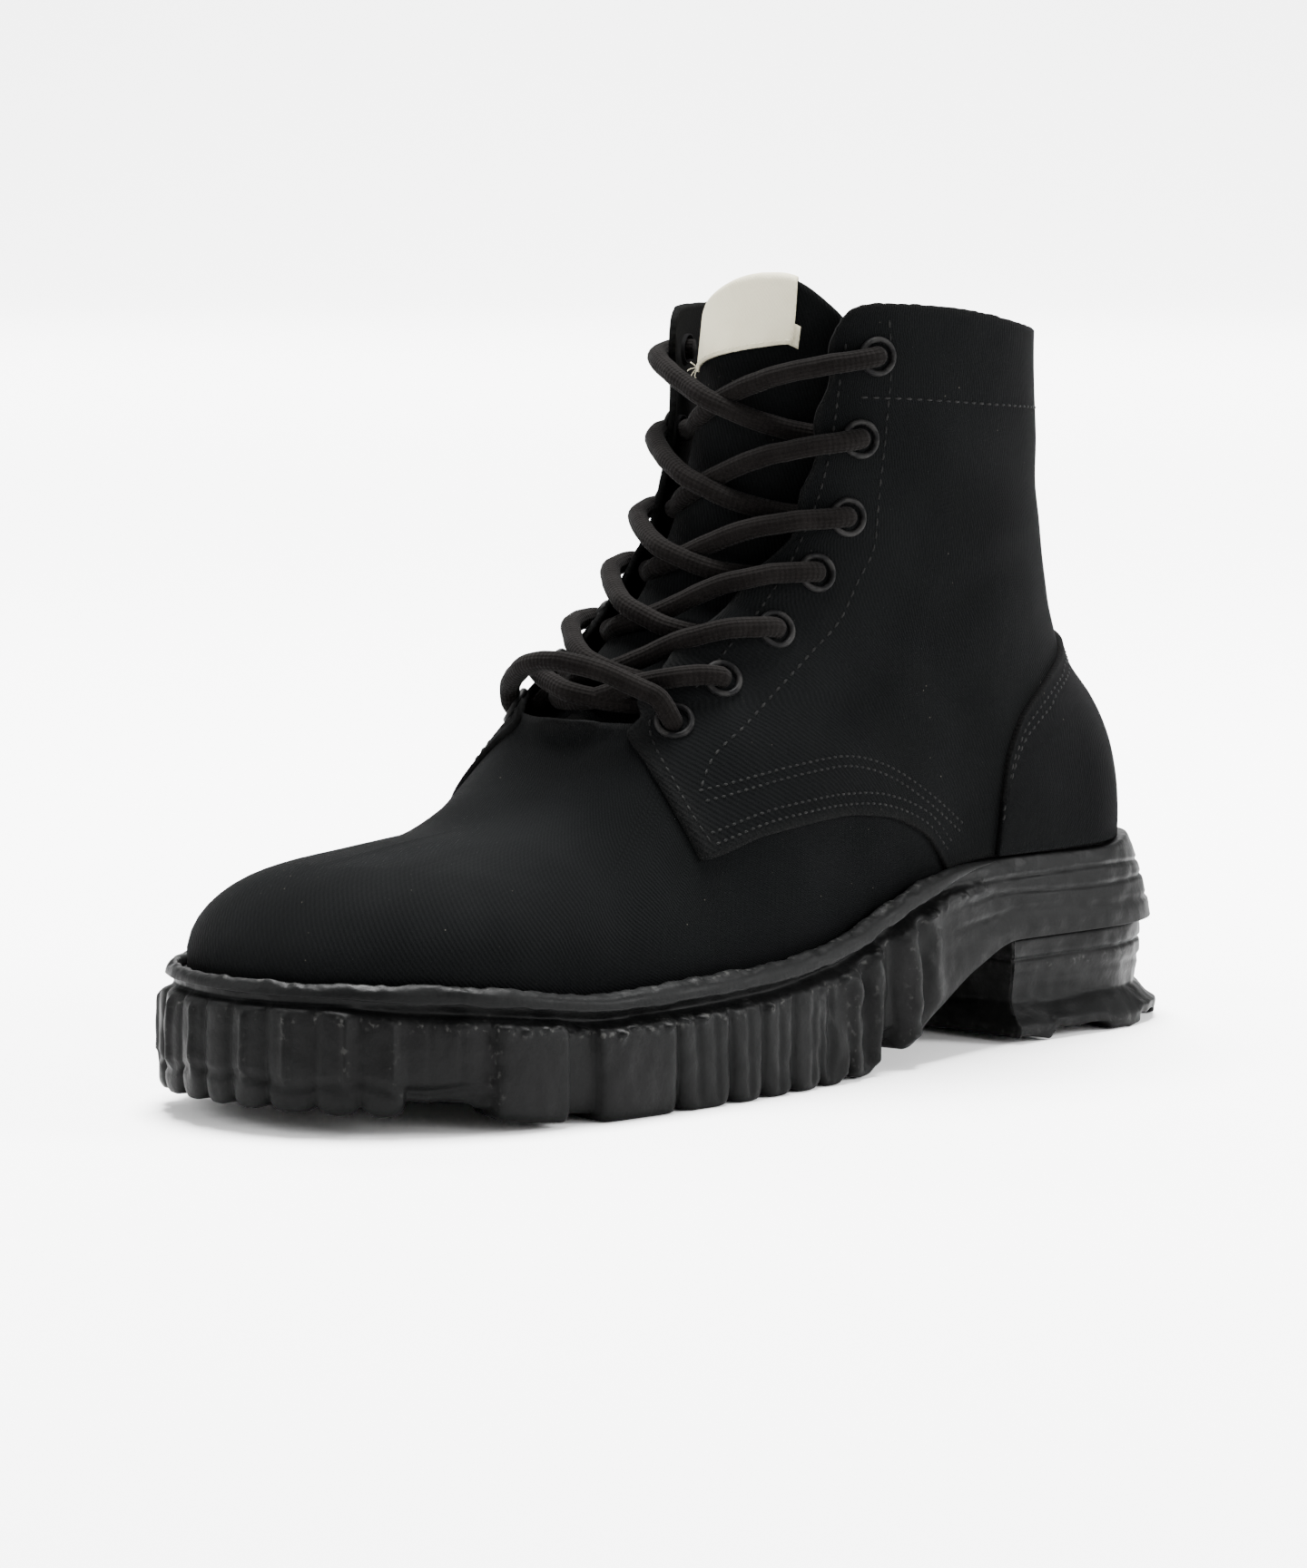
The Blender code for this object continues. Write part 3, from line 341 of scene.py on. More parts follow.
def bend_grid(
    points: Array,
    wrap_columns: bool = False,
    along: Array | None = None,
    start_column: int = 0,
    marks: dict[str, Array] | None = None,
) -> BMesh:
    """Bends a grid through points, with a cloth map in millimetres.

    Args:
        points: Rows of columns of places.
        wrap_columns: Whether the last column joins the first.
        along: The map's second measure for each row, or None to walk the start column.
        start_column: Column where the map's first measure is 0.
        marks: Named numbers for each place, kept with the mesh.

    Returns:
        The bent grid, with its seams merged.
    """
    columns = points.shape[1]
    x_segments = columns - 1 + int(wrap_columns)
    y_segments = len(points) - 1
    column = np.arange(x_segments + 1) % columns
    whole = points[:, column]
    across = run_lengths(whole, 1)[len(whole) // 2]
    climbs = run_lengths(whole, 0)[:, start_column] if along is None else along
    u = np.broadcast_to(across - across[start_column], whole.shape[:2])
    v = np.broadcast_to(climbs[:, None], whole.shape[:2])
    bm = bmesh.new()
    chart = bm.loops.layers.uv.new("UVMap")
    layers = {name: bm.verts.layers.float.new(name) for name in marks or {}}
    bmesh.ops.create_grid(bm, x_segments=x_segments, y_segments=y_segments, size=0.5)
    bm.verts.index_update()
    places = []
    for vertex in bm.verts:
        i = round((vertex.co.y + 0.5) * y_segments)
        j = round((vertex.co.x + 0.5) * x_segments)
        places.append((i, j))
        vertex.co = whole[i, j] * MM
        for name, layer in layers.items():
            vertex[layer] = float(marks[name][i, column[j]])
    for face in bm.faces:
        for loop in face.loops:
            i, j = places[loop.vert.index]
            loop[chart].uv = (u[i, j], v[i, j])
    bmesh.ops.remove_doubles(bm, verts=bm.verts, dist=1e-6)
    bmesh.ops.recalc_face_normals(bm, faces=bm.faces)
    return bm


def face_outward(bm: BMesh) -> BMesh:
    """Turns an open sheet's faces away from the boot's middle.

    Args:
        bm: The sheet.

    Returns:
        The same sheet.
    """
    bm.normal_update()
    middle = Vector(MIDDLE) * MM
    away = sum((face.calc_center_median() - middle).dot(face.normal) * face.calc_area() for face in bm.faces)
    if away < 0:
        bmesh.ops.reverse_faces(bm, faces=bm.faces)
    return bm


def joined(parts: Sequence[BMesh]) -> BMesh:
    """Puts several meshes into one.

    Args:
        parts: The meshes, which are freed.

    Returns:
        One mesh that holds them all.
    """
    whole = bmesh.new()
    for part in parts:
        mesh = bpy.data.meshes.new("part")
        part.to_mesh(mesh)
        part.free()
        whole.from_mesh(mesh)
        bpy.data.meshes.remove(mesh)
    return whole


class Signal:
    """A value that flows out of a node; arithmetic on it adds Math nodes."""

    def __init__(self, bench: "Bench", socket: NodeSocket) -> None:
        """Keeps the socket and the bench that its node stands on."""
        self.bench = bench
        self.socket = socket

    def __add__(self, other: Any) -> "Signal":
        """Returns the sum."""
        return self.bench.math("ADD", self, other)

    __radd__ = __add__

    def __sub__(self, other: Any) -> "Signal":
        """Returns the difference."""
        return self.bench.math("SUBTRACT", self, other)

    def __rsub__(self, other: Any) -> "Signal":
        """Returns the difference from a number."""
        return self.bench.math("SUBTRACT", other, self)

    def __mul__(self, other: Any) -> "Signal":
        """Returns the product."""
        return self.bench.math("MULTIPLY", self, other)

    __rmul__ = __mul__

    def sine(self) -> "Signal":
        """Returns the value's sine."""
        return self.bench.math("SINE", self)

    def step(self, low: float, high: float) -> "Signal":
        """Returns a soft rise from 0 at low to 1 at high."""
        inputs = {"Value": self, "From Min": low, "From Max": high}
        return self.bench.signal("ShaderNodeMapRange", {"interpolation_type": "SMOOTHSTEP"}, inputs)


class Bench:
    """Where one material's nodes are put together."""

    def __init__(self, name: str) -> None:
        """Starts a material with a Principled shader.

        Args:
            name: The material's name.
        """
        self.material = bpy.data.materials.new(name)
        self.material.use_nodes = True
        self.tree = self.material.node_tree
        self.shader = self.tree.nodes["Principled BSDF"]

    def feed(self, socket: NodeSocket, value: Any) -> None:
        """Links a signal to a socket, or sets the socket to a number or colour."""
        if isinstance(value, Signal):
            self.tree.links.new(value.socket, socket)
        else:
            socket.default_value = value

    def node(self, kind: str, settings: dict[str, Any], inputs: dict[Any, Any]) -> Node:
        """Adds a node.

        Args:
            kind: The node's type.
            settings: Its settings, which are set first.
            inputs: Values or signals by the socket's name, place or identifier.

        Returns:
            The node.
        """
        made = self.tree.nodes.new(kind)
        for name, value in settings.items():
            setattr(made, name, value)
        by_identifier = {socket.identifier: socket for socket in made.inputs}
        for name, value in inputs.items():
            self.feed(by_identifier[name] if name in by_identifier else made.inputs[name], value)
        return made

    def signal(self, kind: str, settings: dict[str, Any], inputs: dict[Any, Any], output: Any = 0) -> Signal:
        """Adds a node and returns one of its outputs."""
        return Signal(self, self.node(kind, settings, inputs).outputs[output])

    def math(self, operation: str, *values: Any) -> Signal:
        """Adds a Math node on values or signals."""
        return self.signal("ShaderNodeMath", {"operation": operation}, dict(enumerate(values)))

    def mix(self, factor: Any, first: Any, second: Any) -> Signal:
        """Mixes two colours.

        Args:
            factor: Share of the second colour.
            first: First colour.
            second: Second colour.

        Returns:
            The mixed colour.
        """
        inputs = {"Factor_Float": factor, "A_Color": colour(first), "B_Color": colour(second)}
        made = self.node("ShaderNodeMix", {"data_type": "RGBA"}, inputs)
        return Signal(self, next(out for out in made.outputs if out.identifier == "Result_Color"))

    def place(self) -> Signal:
        """Returns the place on the object."""
        return self.signal("ShaderNodeTexCoord", {}, {}, "Object")

    def chart(self) -> tuple[Signal, Signal]:
        """Returns the two measures of the piece's own map, in millimetres."""
        made = self.node("ShaderNodeUVMap", {"uv_map": "UVMap"}, {})
        split = self.node("ShaderNodeSeparateXYZ", {}, {"Vector": Signal(self, made.outputs[0])})
        return Signal(self, split.outputs[0]), Signal(self, split.outputs[1])

    def mark(self, name: str) -> Signal:
        """Returns a number that the mesh keeps under a name."""
        return self.signal("ShaderNodeAttribute", {"attribute_name": name}, {}, "Fac")

    def grain(self, size: float, detail: float = 2.0) -> Signal:
        """Returns soft random grain from 0 to 1 whose hills are about a size in millimetres apart."""
        inputs = {"Vector": self.place(), "Scale": 1 / (size * MM), "Detail": detail}
        return self.signal("ShaderNodeTexNoise", {}, inputs)

    def specks(self, spacing: float, radius: float) -> Signal:
        """Scatters small round specks.

        Args:
            spacing: How far apart they are, in millimetres.
            radius: Their radius.

        Returns:
            1 on the specks and 0 between them.
        """
        inputs = {"Vector": self.place(), "Scale": 1 / (spacing * MM)}
        away = self.signal("ShaderNodeTexVoronoi", {}, inputs, "Distance")
        return 1 - away.step(radius / spacing * 0.6, radius / spacing)

    def finish(
        self, base: Any, roughness: Any, height: Signal, depth: float,
        shine: float, sheen: float = 0.0, sheen_roughness: float = 0.5,
    ) -> Material:
        """Feeds the shader.

        Args:
            base: Colour or its signal.
            roughness: Roughness or its signal.
            height: Relief from about 0 to 1.
            depth: Height of that relief in millimetres.
            shine: How much the surface mirrors.
            sheen: How much its fuzz catches light.
            sheen_roughness: How widely the fuzz spreads it.

        Returns:
            The finished material.
        """
        inputs = {"Height": height, "Strength": 1.0, "Distance": depth * MM}
        bump = self.signal("ShaderNodeBump", {}, inputs, "Normal")
        self.feed(self.shader.inputs["Base Color"], colour(base))
        self.feed(self.shader.inputs["Roughness"], roughness)
        self.feed(self.shader.inputs["Normal"], bump)
        self.feed(self.shader.inputs["Specular IOR Level"], shine)
        self.feed(self.shader.inputs["Sheen Weight"], sheen)
        self.feed(self.shader.inputs["Sheen Roughness"], sheen_roughness)
        return self.material


def colour(value: Any) -> Any:
    """Returns a colour with its fourth number, or a signal as it is."""
    return value if isinstance(value, Signal) else (*value[:3], 1.0)


@dataclass(frozen=True)
class Canvas:
    """Matte black cotton twill with lint on it."""

    name: str = "black_canvas"
    slot: Slot = Slot.CANVAS
    dark: Triple = (0.0011, 0.00123, 0.00128)
    faded: Triple = (0.0027, 0.0029, 0.0030)
    raw: Triple = (0.0040, 0.0040, 0.0039)
    lint: Triple = (0.034, 0.032, 0.027)
    twill: float = 0.95
    rib: float = 1.5
    fuzz: float = 0.35
    patch: float = 38.0
    lint_gap: float = 4.4
    lint_size: float = 0.2
    depth: float = 0.16
    shine: float = 0.012
    sheen: float = 0.003

    def make(self) -> Material:
        """Builds the material."""
        bench = Bench(self.name)
        u, v = bench.chart()
        wobble = bench.grain(9.0) * 0.5
        twill = ((u + v * 0.55 + wobble) * (FULL_TURN / self.twill)).sine() * 0.5 + 0.5
        rib = ((u + wobble) * (FULL_TURN / self.rib)).sine() * 0.5 + 0.5
        fuzz = bench.grain(self.fuzz, 3.0)
        patches = bench.grain(self.patch, 4.0).step(0.3, 0.75)
        worn = patches * 0.55 + twill * 0.25 + fuzz * 0.3
        cloth = bench.mix(worn, self.dark, self.faded)
        edge = bench.mark("raw_edge") * fuzz.step(0.35, 0.65)
        cloth = bench.mix(edge, cloth, self.raw)
        lint = bench.specks(self.lint_gap, self.lint_size) * bench.grain(17.0).step(0.46, 0.62)
        cloth = bench.mix(lint, cloth, self.lint)
        height = twill * 0.5 + rib * 0.2 + fuzz * 0.5
        return bench.finish(cloth, 0.9 + fuzz * 0.1, height, self.depth, self.shine, self.sheen)


@dataclass(frozen=True)
class Lining(Canvas):
    """Plain drill inside the shaft."""

    name: str = "drill_lining"
    dark: Triple = (0.0036, 0.0037, 0.0037)
    faded: Triple = (0.0070, 0.0070, 0.0068)
    twill: float = 1.3


@dataclass(frozen=True)
class Thread:
    """Black sewing thread with a waxy shine."""

    name: str = "black_thread"
    slot: Slot = Slot.CANVAS
    dark: Triple = (0.0022, 0.0023, 0.0023)
    pale: Triple = (0.0052, 0.0052, 0.0050)
    depth: float = 0.08
    shine: float = 0.05

    def make(self) -> Material:
        """Builds the material."""
        bench = Bench(self.name)
        worn = bench.grain(3.0, 3.0).step(0.35, 0.7)
        ply = bench.grain(0.5, 1.0)
        thread = bench.mix(worn, self.dark, self.pale)
        return bench.finish(thread, 0.6 + ply * 0.2, ply, self.depth, self.shine)


@dataclass(frozen=True)
class Rubber:
    """Black rubber worked by hand: satin, with dents and smears, and a painted highlight in lighter grey
    along its edges and lips.
    """

    name: str = "black_rubber"
    slot: Slot = Slot.RUBBER
    dark: Triple = (0.0013, 0.0014, 0.0014)
    dusty: Triple = (0.0031, 0.0032, 0.0032)
    # Lighter grey painted on edges and lips as their highlight
    edge_glint: Triple = (0.021, 0.021, 0.020)
    smear: float = 14.0
    dent: float = 5.0
    pore: float = 0.9
    depth: float = 0.5
    shine: float = 0.05

    def make(self) -> Material:
        """Builds the material."""
        bench = Bench(self.name)
        smear = bench.grain(self.smear, 4.0)
        dent = bench.grain(self.dent, 3.0)
        pore = bench.grain(self.pore, 3.0)
        # Painted highlight: marked edges and lips turn lighter grey in patches
        edge_glint = bench.mark("edge_glint") * bench.grain(1.7, 3.0).step(0.56, 0.72)
        dust = smear.step(0.35, 0.75) * 0.6 + pore * 0.25
        rubber = bench.mix(dust, self.dark, self.dusty)
        rubber = bench.mix(edge_glint, rubber, self.edge_glint)
        rough = 0.38 + smear.step(0.3, 0.7) * 0.2 + pore * 0.1
        height = dent * 0.7 + pore * 0.12 + smear * 0.5
        return bench.finish(rubber, rough, height, self.depth, self.shine)


@dataclass(frozen=True)
class Cotton:
    """Brown-black round cotton lace with a fuzzy braid."""

    name: str = "black_cotton_lace"
    slot: Slot = Slot.LACE
    dark: Triple = (0.0017, 0.00145, 0.00135)
    pale: Triple = (0.0042, 0.0037, 0.0035)
    around: float = 8.0
    plait: float = 2.6
    girth: float = FULL_TURN * 2.4
    depth: float = 0.35
    shine: float = 0.02
    sheen: float = 0.008
    sheen_roughness: float = 0.4

    def make(self) -> Material:
        """Builds the material."""
        bench = Bench(self.name)
        u, v = bench.chart()
        turn = u * (FULL_TURN * self.around / self.girth)
        climb = v * (FULL_TURN / self.plait)
        plait = (turn + climb).sine() * (turn - climb).sine() * 0.5 + 0.5
        fuzz = bench.grain(0.4, 3.0)
        worn = bench.grain(7.0, 2.0).step(0.3, 0.75) * 0.5 + plait * 0.3 + fuzz * 0.3
        cord = bench.mix(worn, self.dark, self.pale)
        height = plait * 0.6 + fuzz * 0.5
        return bench.finish(cord, 0.92, height, self.depth, self.shine, self.sheen, self.sheen_roughness)


@dataclass(frozen=True)
class Enamel:
    """Black baked enamel on brass, with a painted highlight in patches along the rim's top."""

    name: str = "black_enamel"
    slot: Slot = Slot.EYELET
    dark: Triple = (0.0030, 0.0030, 0.0031)
    # Lighter grey painted on the rim's top as its highlight
    rim_highlight: Triple = (0.010, 0.0097, 0.0094)
    depth: float = 0.05
    shine: float = 0.035

    def make(self) -> Material:
        """Builds the material."""
        bench = Bench(self.name)
        scuff = bench.grain(1.4, 3.0)
        # Painted highlight: the rim's top turns lighter in patches
        rim_highlight = bench.mark("rim") * bench.grain(3.5, 2.0).step(0.4, 0.62)
        paint = bench.mix(rim_highlight, self.dark, self.rim_highlight)
        return bench.finish(paint, 0.4 + scuff * 0.2, scuff, self.depth, self.shine)


@dataclass(frozen=True)
class CreamTape:
    """Cream woven cotton tape."""

    name: str = "cream_woven_tape"
    slot: Slot = Slot.TAPE
    cream: Triple = (0.375, 0.352, 0.262)
    shade: Triple = (0.28, 0.255, 0.175)
    weave: float = 0.75
    depth: float = 0.12
    shine: float = 0.2

    def make(self) -> Material:
        """Builds the material."""
        bench = Bench(self.name)
        u, v = bench.chart()
        warp = (u * (FULL_TURN / self.weave)).sine()
        weft = (v * (FULL_TURN / self.weave)).sine()
        weave = warp * weft * 0.5 + 0.5
        fuzz = bench.grain(0.5, 3.0)
        soil = bench.grain(9.0, 3.0).step(0.45, 0.85) * 0.3 + (1 - weave) * 0.18
        edge = bench.mark("raw_edge") * fuzz.step(0.3, 0.7)
        tape = bench.mix(soil + edge * 0.5, self.cream, self.shade)
        return bench.finish(tape, 0.88, weave * 0.6 + fuzz * 0.4, self.depth, self.shine)


@dataclass(frozen=True)
class Felt:
    """Dark felted board under the foot."""

    name: str = "insole_felt"
    slot: Slot = Slot.INSOLE
    dark: Triple = (0.006, 0.0058, 0.0056)
    pale: Triple = (0.015, 0.0145, 0.0135)
    depth: float = 0.3
    shine: float = 0.03

    def make(self) -> Material:
        """Builds the material."""
        bench = Bench(self.name)
        fibre = bench.grain(0.6, 4.0)
        patches = bench.grain(30.0, 3.0).step(0.3, 0.8)
        felt = bench.mix(fibre * 0.5 + patches * 0.4, self.dark, self.pale)
        return bench.finish(felt, 0.95, fibre, self.depth, self.shine)


@dataclass(frozen=True)
class Backdrop:
    """Pale paper that the boot stands on."""

    name: str = "pale_paper"
    pale: Triple = (0.86, 0.86, 0.86)
    depth: float = 0.02

    def make(self) -> Material:
        """Builds the material."""
        bench = Bench(self.name)
        return bench.finish(self.pale, 0.95, bench.grain(2.0), self.depth, 0.0)


def dress(finish: Any) -> Material:
    """Returns a finish's material, built once."""
    return bpy.data.materials.get(finish.name) or finish.make()


def add_piece(
    name: str, bm: BMesh, finishes: Sequence[Any], stands_for: Sequence[str] = ()
) -> Object:
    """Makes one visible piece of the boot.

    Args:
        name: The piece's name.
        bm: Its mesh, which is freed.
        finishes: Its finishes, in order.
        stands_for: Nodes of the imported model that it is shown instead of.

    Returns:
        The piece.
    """
    mesh = bpy.data.meshes.new(name)
    bm.to_mesh(mesh)
    bm.free()
    mesh.shade_smooth()
    for finish in finishes:
        mesh.materials.append(dress(finish))
    piece = bpy.data.objects.new(name, mesh)
    bpy.context.scene.collection.objects.link(piece)
    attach(piece, BODY)
    if stands_for:
        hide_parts(*stands_for)
    LOG.info("%s: %d faces", name, len(mesh.polygons))
    return piece


def add_sheet(
    name: str, points: Array, raw: Array, thickness: float, finishes: Sequence[Any],
    stands_for: Sequence[str] = (), middle: int = 0,
) -> None:
    """Makes a visible piece of cloth, whose thickness lies inward from its outer face.

    Args:
        name: The piece's name.
        points: Rows of columns of places on its outer face.
        raw: How raw the cloth is at each place.
        thickness: Its thickness in millimetres.
        finishes: Finish of the outer face and, where it differs, of the inner face.
        stands_for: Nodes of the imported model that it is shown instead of.
        middle: Column where the cloth's map starts.
    """
    bm = bend_grid(points, start_column=middle, marks={"raw_edge": raw})
    piece = add_piece(name, face_outward(bm), finishes, stands_for)
    wall = piece.modifiers.new("Wall", "SOLIDIFY")
    wall.thickness = thickness * MM
    wall.offset = -1.0
    wall.material_offset = len(finishes) - 1


@dataclass(frozen=True)
class Last:
    """The form of foot and shaft that the upper is pulled over."""

    half_length: float = 143.0
    toe_round: float = 50.0
    heel_round: float = 42.0
    toe_fullness: float = 2.15
    heel_fullness: float = 2.3
    foot_squareness: float = 2.4
    front_squareness: float = 2.0
    back_squareness: float = 2.15
    swell: float = 0.05
    instep_blend: float = 0.12
    toe_box: float = 30.0
    centre: Triple = MIDDLE
    instep_start: tuple[float, float] = (-30.0, 50.0)
    instep_slope: float = math.radians(35.0)
    heel_axis: float = 80.0
    reach: float = 240.0
    far: float = 50.0
    halvings: int = 24
    curve_steps: int = 170
    curve_rise: tuple[float, float] = (-60.0, 89.0)

    def end_cap(self, y: Array, toe_inset: float, heel_inset: float) -> Array:
        """Returns how far the outline has opened.

        Args:
            y: Places along the boot.
            toe_inset: How far inside the sole's outline the toe's tip lies.
            heel_inset: How far inside it the heel's back lies.

        Returns:
            Numbers from 0 at the ends to 1 between them.
        """
        toe = np.clip((-self.half_length + self.toe_round - y) / (self.toe_round - toe_inset), 0, 1)
        heel = np.clip((y - self.half_length + self.heel_round) / (self.heel_round - heel_inset), 0, 1)
        toe_open = (1 - toe**self.toe_fullness) ** (1 / self.toe_fullness)
        return toe_open * (1 - heel**self.heel_fullness) ** (1 / self.heel_fullness)

    def foot(self, points: Array) -> Array:
        """Tells the foot part's inside from its outside.

        Args:
            points: Places to look at.

        Returns:
            Numbers below 1 inside.
        """
        x, y, z = np.moveaxis(points, -1, 0)
        toe_inset = SOLE.columns["feather"][0]
        opened = self.end_cap(y, toe_inset, SOLE.columns["feather"][-1])
        half = (SOLE("half", y) - SOLE("feather", y)) * opened
        base = SOLE("top", y)
        box = np.clip((-self.half_length + toe_inset + self.toe_box - y) / self.toe_box, 0, 1)
        square = self.foot_squareness
        rise = (FOOT("ridge", y) - base) * (1 - box**square) ** (1 / square)
        up = np.maximum(z - base, 0) / np.maximum(rise, TINY)
        level = np.clip(up, 0, 1)
        swell = 1 + self.swell * 4 * level * (1 - level)
        middle = SOLE("middle", y) - FOOT("lean", y) * level
        across = np.abs(x - middle) / np.maximum(half * swell, TINY)
        across = np.where(opened > 0, np.minimum(across, self.far), self.far)
        return (across**square + np.minimum(up, self.far) ** square) ** (1 / square)

    def shaft(self, points: Array) -> Array:
        """Tells the inside of the shaft and heel part from its outside.

        Args:
            points: Places to look at.

        Returns:
            Numbers below 1 inside.
        """
        x, y, z = np.moveaxis(points, -1, 0)
        back, front = SHAFT("back", z), SHAFT("front", z)
        centre = (back + front) / 2
        along = np.abs(y - centre) / ((back - front) / 2)
        across = np.abs(x) / SHAFT("half", z)
        square = np.where(y < centre, self.front_squareness, self.back_squareness)
        return (across**square + along**square) ** (1 / square)

    def form(self, points: Array) -> Array:
        """Tells the last's inside from its outside.

        Args:
            points: Places to look at.

        Returns:
            Numbers below 1 inside.
        """
        foot, shaft = self.foot(points), self.shaft(points)
        overlap = np.maximum(self.instep_blend - np.abs(foot - shaft), 0)
        return np.minimum(foot, shaft) - overlap**2 / (4 * self.instep_blend)

    def cast(self, origins: Array, directions: Array) -> Array:
        """Finds where rays from inside meet the surface.

        Args:
            origins: Where the rays start.
            directions: Their directions, of length 1.

        Returns:
            The places on the surface.
        """
        shape = np.broadcast_shapes(np.shape(origins), np.shape(directions))
        origins = np.broadcast_to(origins, shape)
        directions = np.broadcast_to(directions, shape)
        near = np.zeros(shape[:-1])
        far = np.full(shape[:-1], self.reach)
        for _ in range(self.halvings):
            middle = (near + far) / 2
            inside = self.form(origins + middle[..., None] * directions) < 1
            near = np.where(inside, middle, near)
            far = np.where(inside, far, middle)
        return origins + near[..., None] * directions

    def normals(self, points: Array) -> Array:
        """Returns the surface's outward directions."""
        slopes = [self.form(points + step) - self.form(points - step) for step in np.eye(3) * 0.5]
        return unit(np.stack(slopes, axis=-1))

    def side(self, side: int, y: Any, z: Any) -> Array:
        """Returns the surface at places of the side view, on one side."""
        return self.cast(spot(0.0, y, z), np.array([float(side), 0.0, 0.0]))

    def front(self, x: Array, climb: Array) -> Array:
        """Returns the surface over the instep.

        Args:
            x: Places across.
            climb: How far they lie from the throat toward the collar.

        Returns:
            The places on the surface.
        """
        run, rise = math.cos(self.instep_slope), math.sin(self.instep_slope)
        y, z = self.instep_start
        return self.cast(spot(x, y + climb * rise, z + climb * run), np.array([0.0, -run, rise]))

    def level(self, x: Array, z: Array) -> Array:
        """Returns the surface ahead of the shaft's axis, by place across and height."""
        return self.cast(spot(x, self.centre[1], z), np.array([0.0, -1.0, 0.0]))

    def behind(self, x: Array, z: Array) -> Array:
        """Returns the surface behind the heel's axis, by place across and height."""
        return self.cast(spot(x, self.heel_axis, z), np.array([0.0, 1.0, 0.0]))

    def heel(self, turn: Array, z: Array) -> Array:
        """Returns the surface round the heel, by plan angle from straight back and height."""
        return self.cast(spot(0.0, self.heel_axis, z), spot(np.sin(turn), np.cos(turn), 0.0))

    def around(self, side: int, turn: Array, z: Array) -> Array:
        """Returns the surface by plan angle from straight ahead, on one side, and height."""
        return self.cast(spot(0.0, self.centre[1], z), spot(side * np.sin(turn), -np.cos(turn), 0.0))

    def climb_rays(self, angles: Array, rises: Array) -> Array:
        """Finds the surface as seen from the centre.

        Args:
            angles: Plan angles from the toe, one for each curve.
            rises: Angles of rise along each curve.

        Returns:
            The places on the surface.
        """
        turn, level = angles[:, None], np.cos(rises)
        directions = spot(level * np.sin(turn), level * -np.cos(turn), np.sin(rises))
        return self.cast(np.array(self.centre), directions)

    def curves(self, angles: Array) -> Array:
        """Runs curves up the surface in even steps.

        Args:
            angles: Plan angles from the toe.

        Returns:
            One curve for each angle.
        """
        even = np.linspace(0, 1, self.curve_steps)
        coarse = np.radians(np.linspace(*self.curve_rise, self.curve_steps))
        rises = np.broadcast_to(coarse, (len(angles), self.curve_steps))
        for _ in range(3):
            walked = run_lengths(self.climb_rays(angles, rises), 1)
            share = walked / walked[:, -1:]
            rises = np.stack([np.interp(even, done, rise) for done, rise in zip(share, rises)])
        return self.climb_rays(angles, rises)


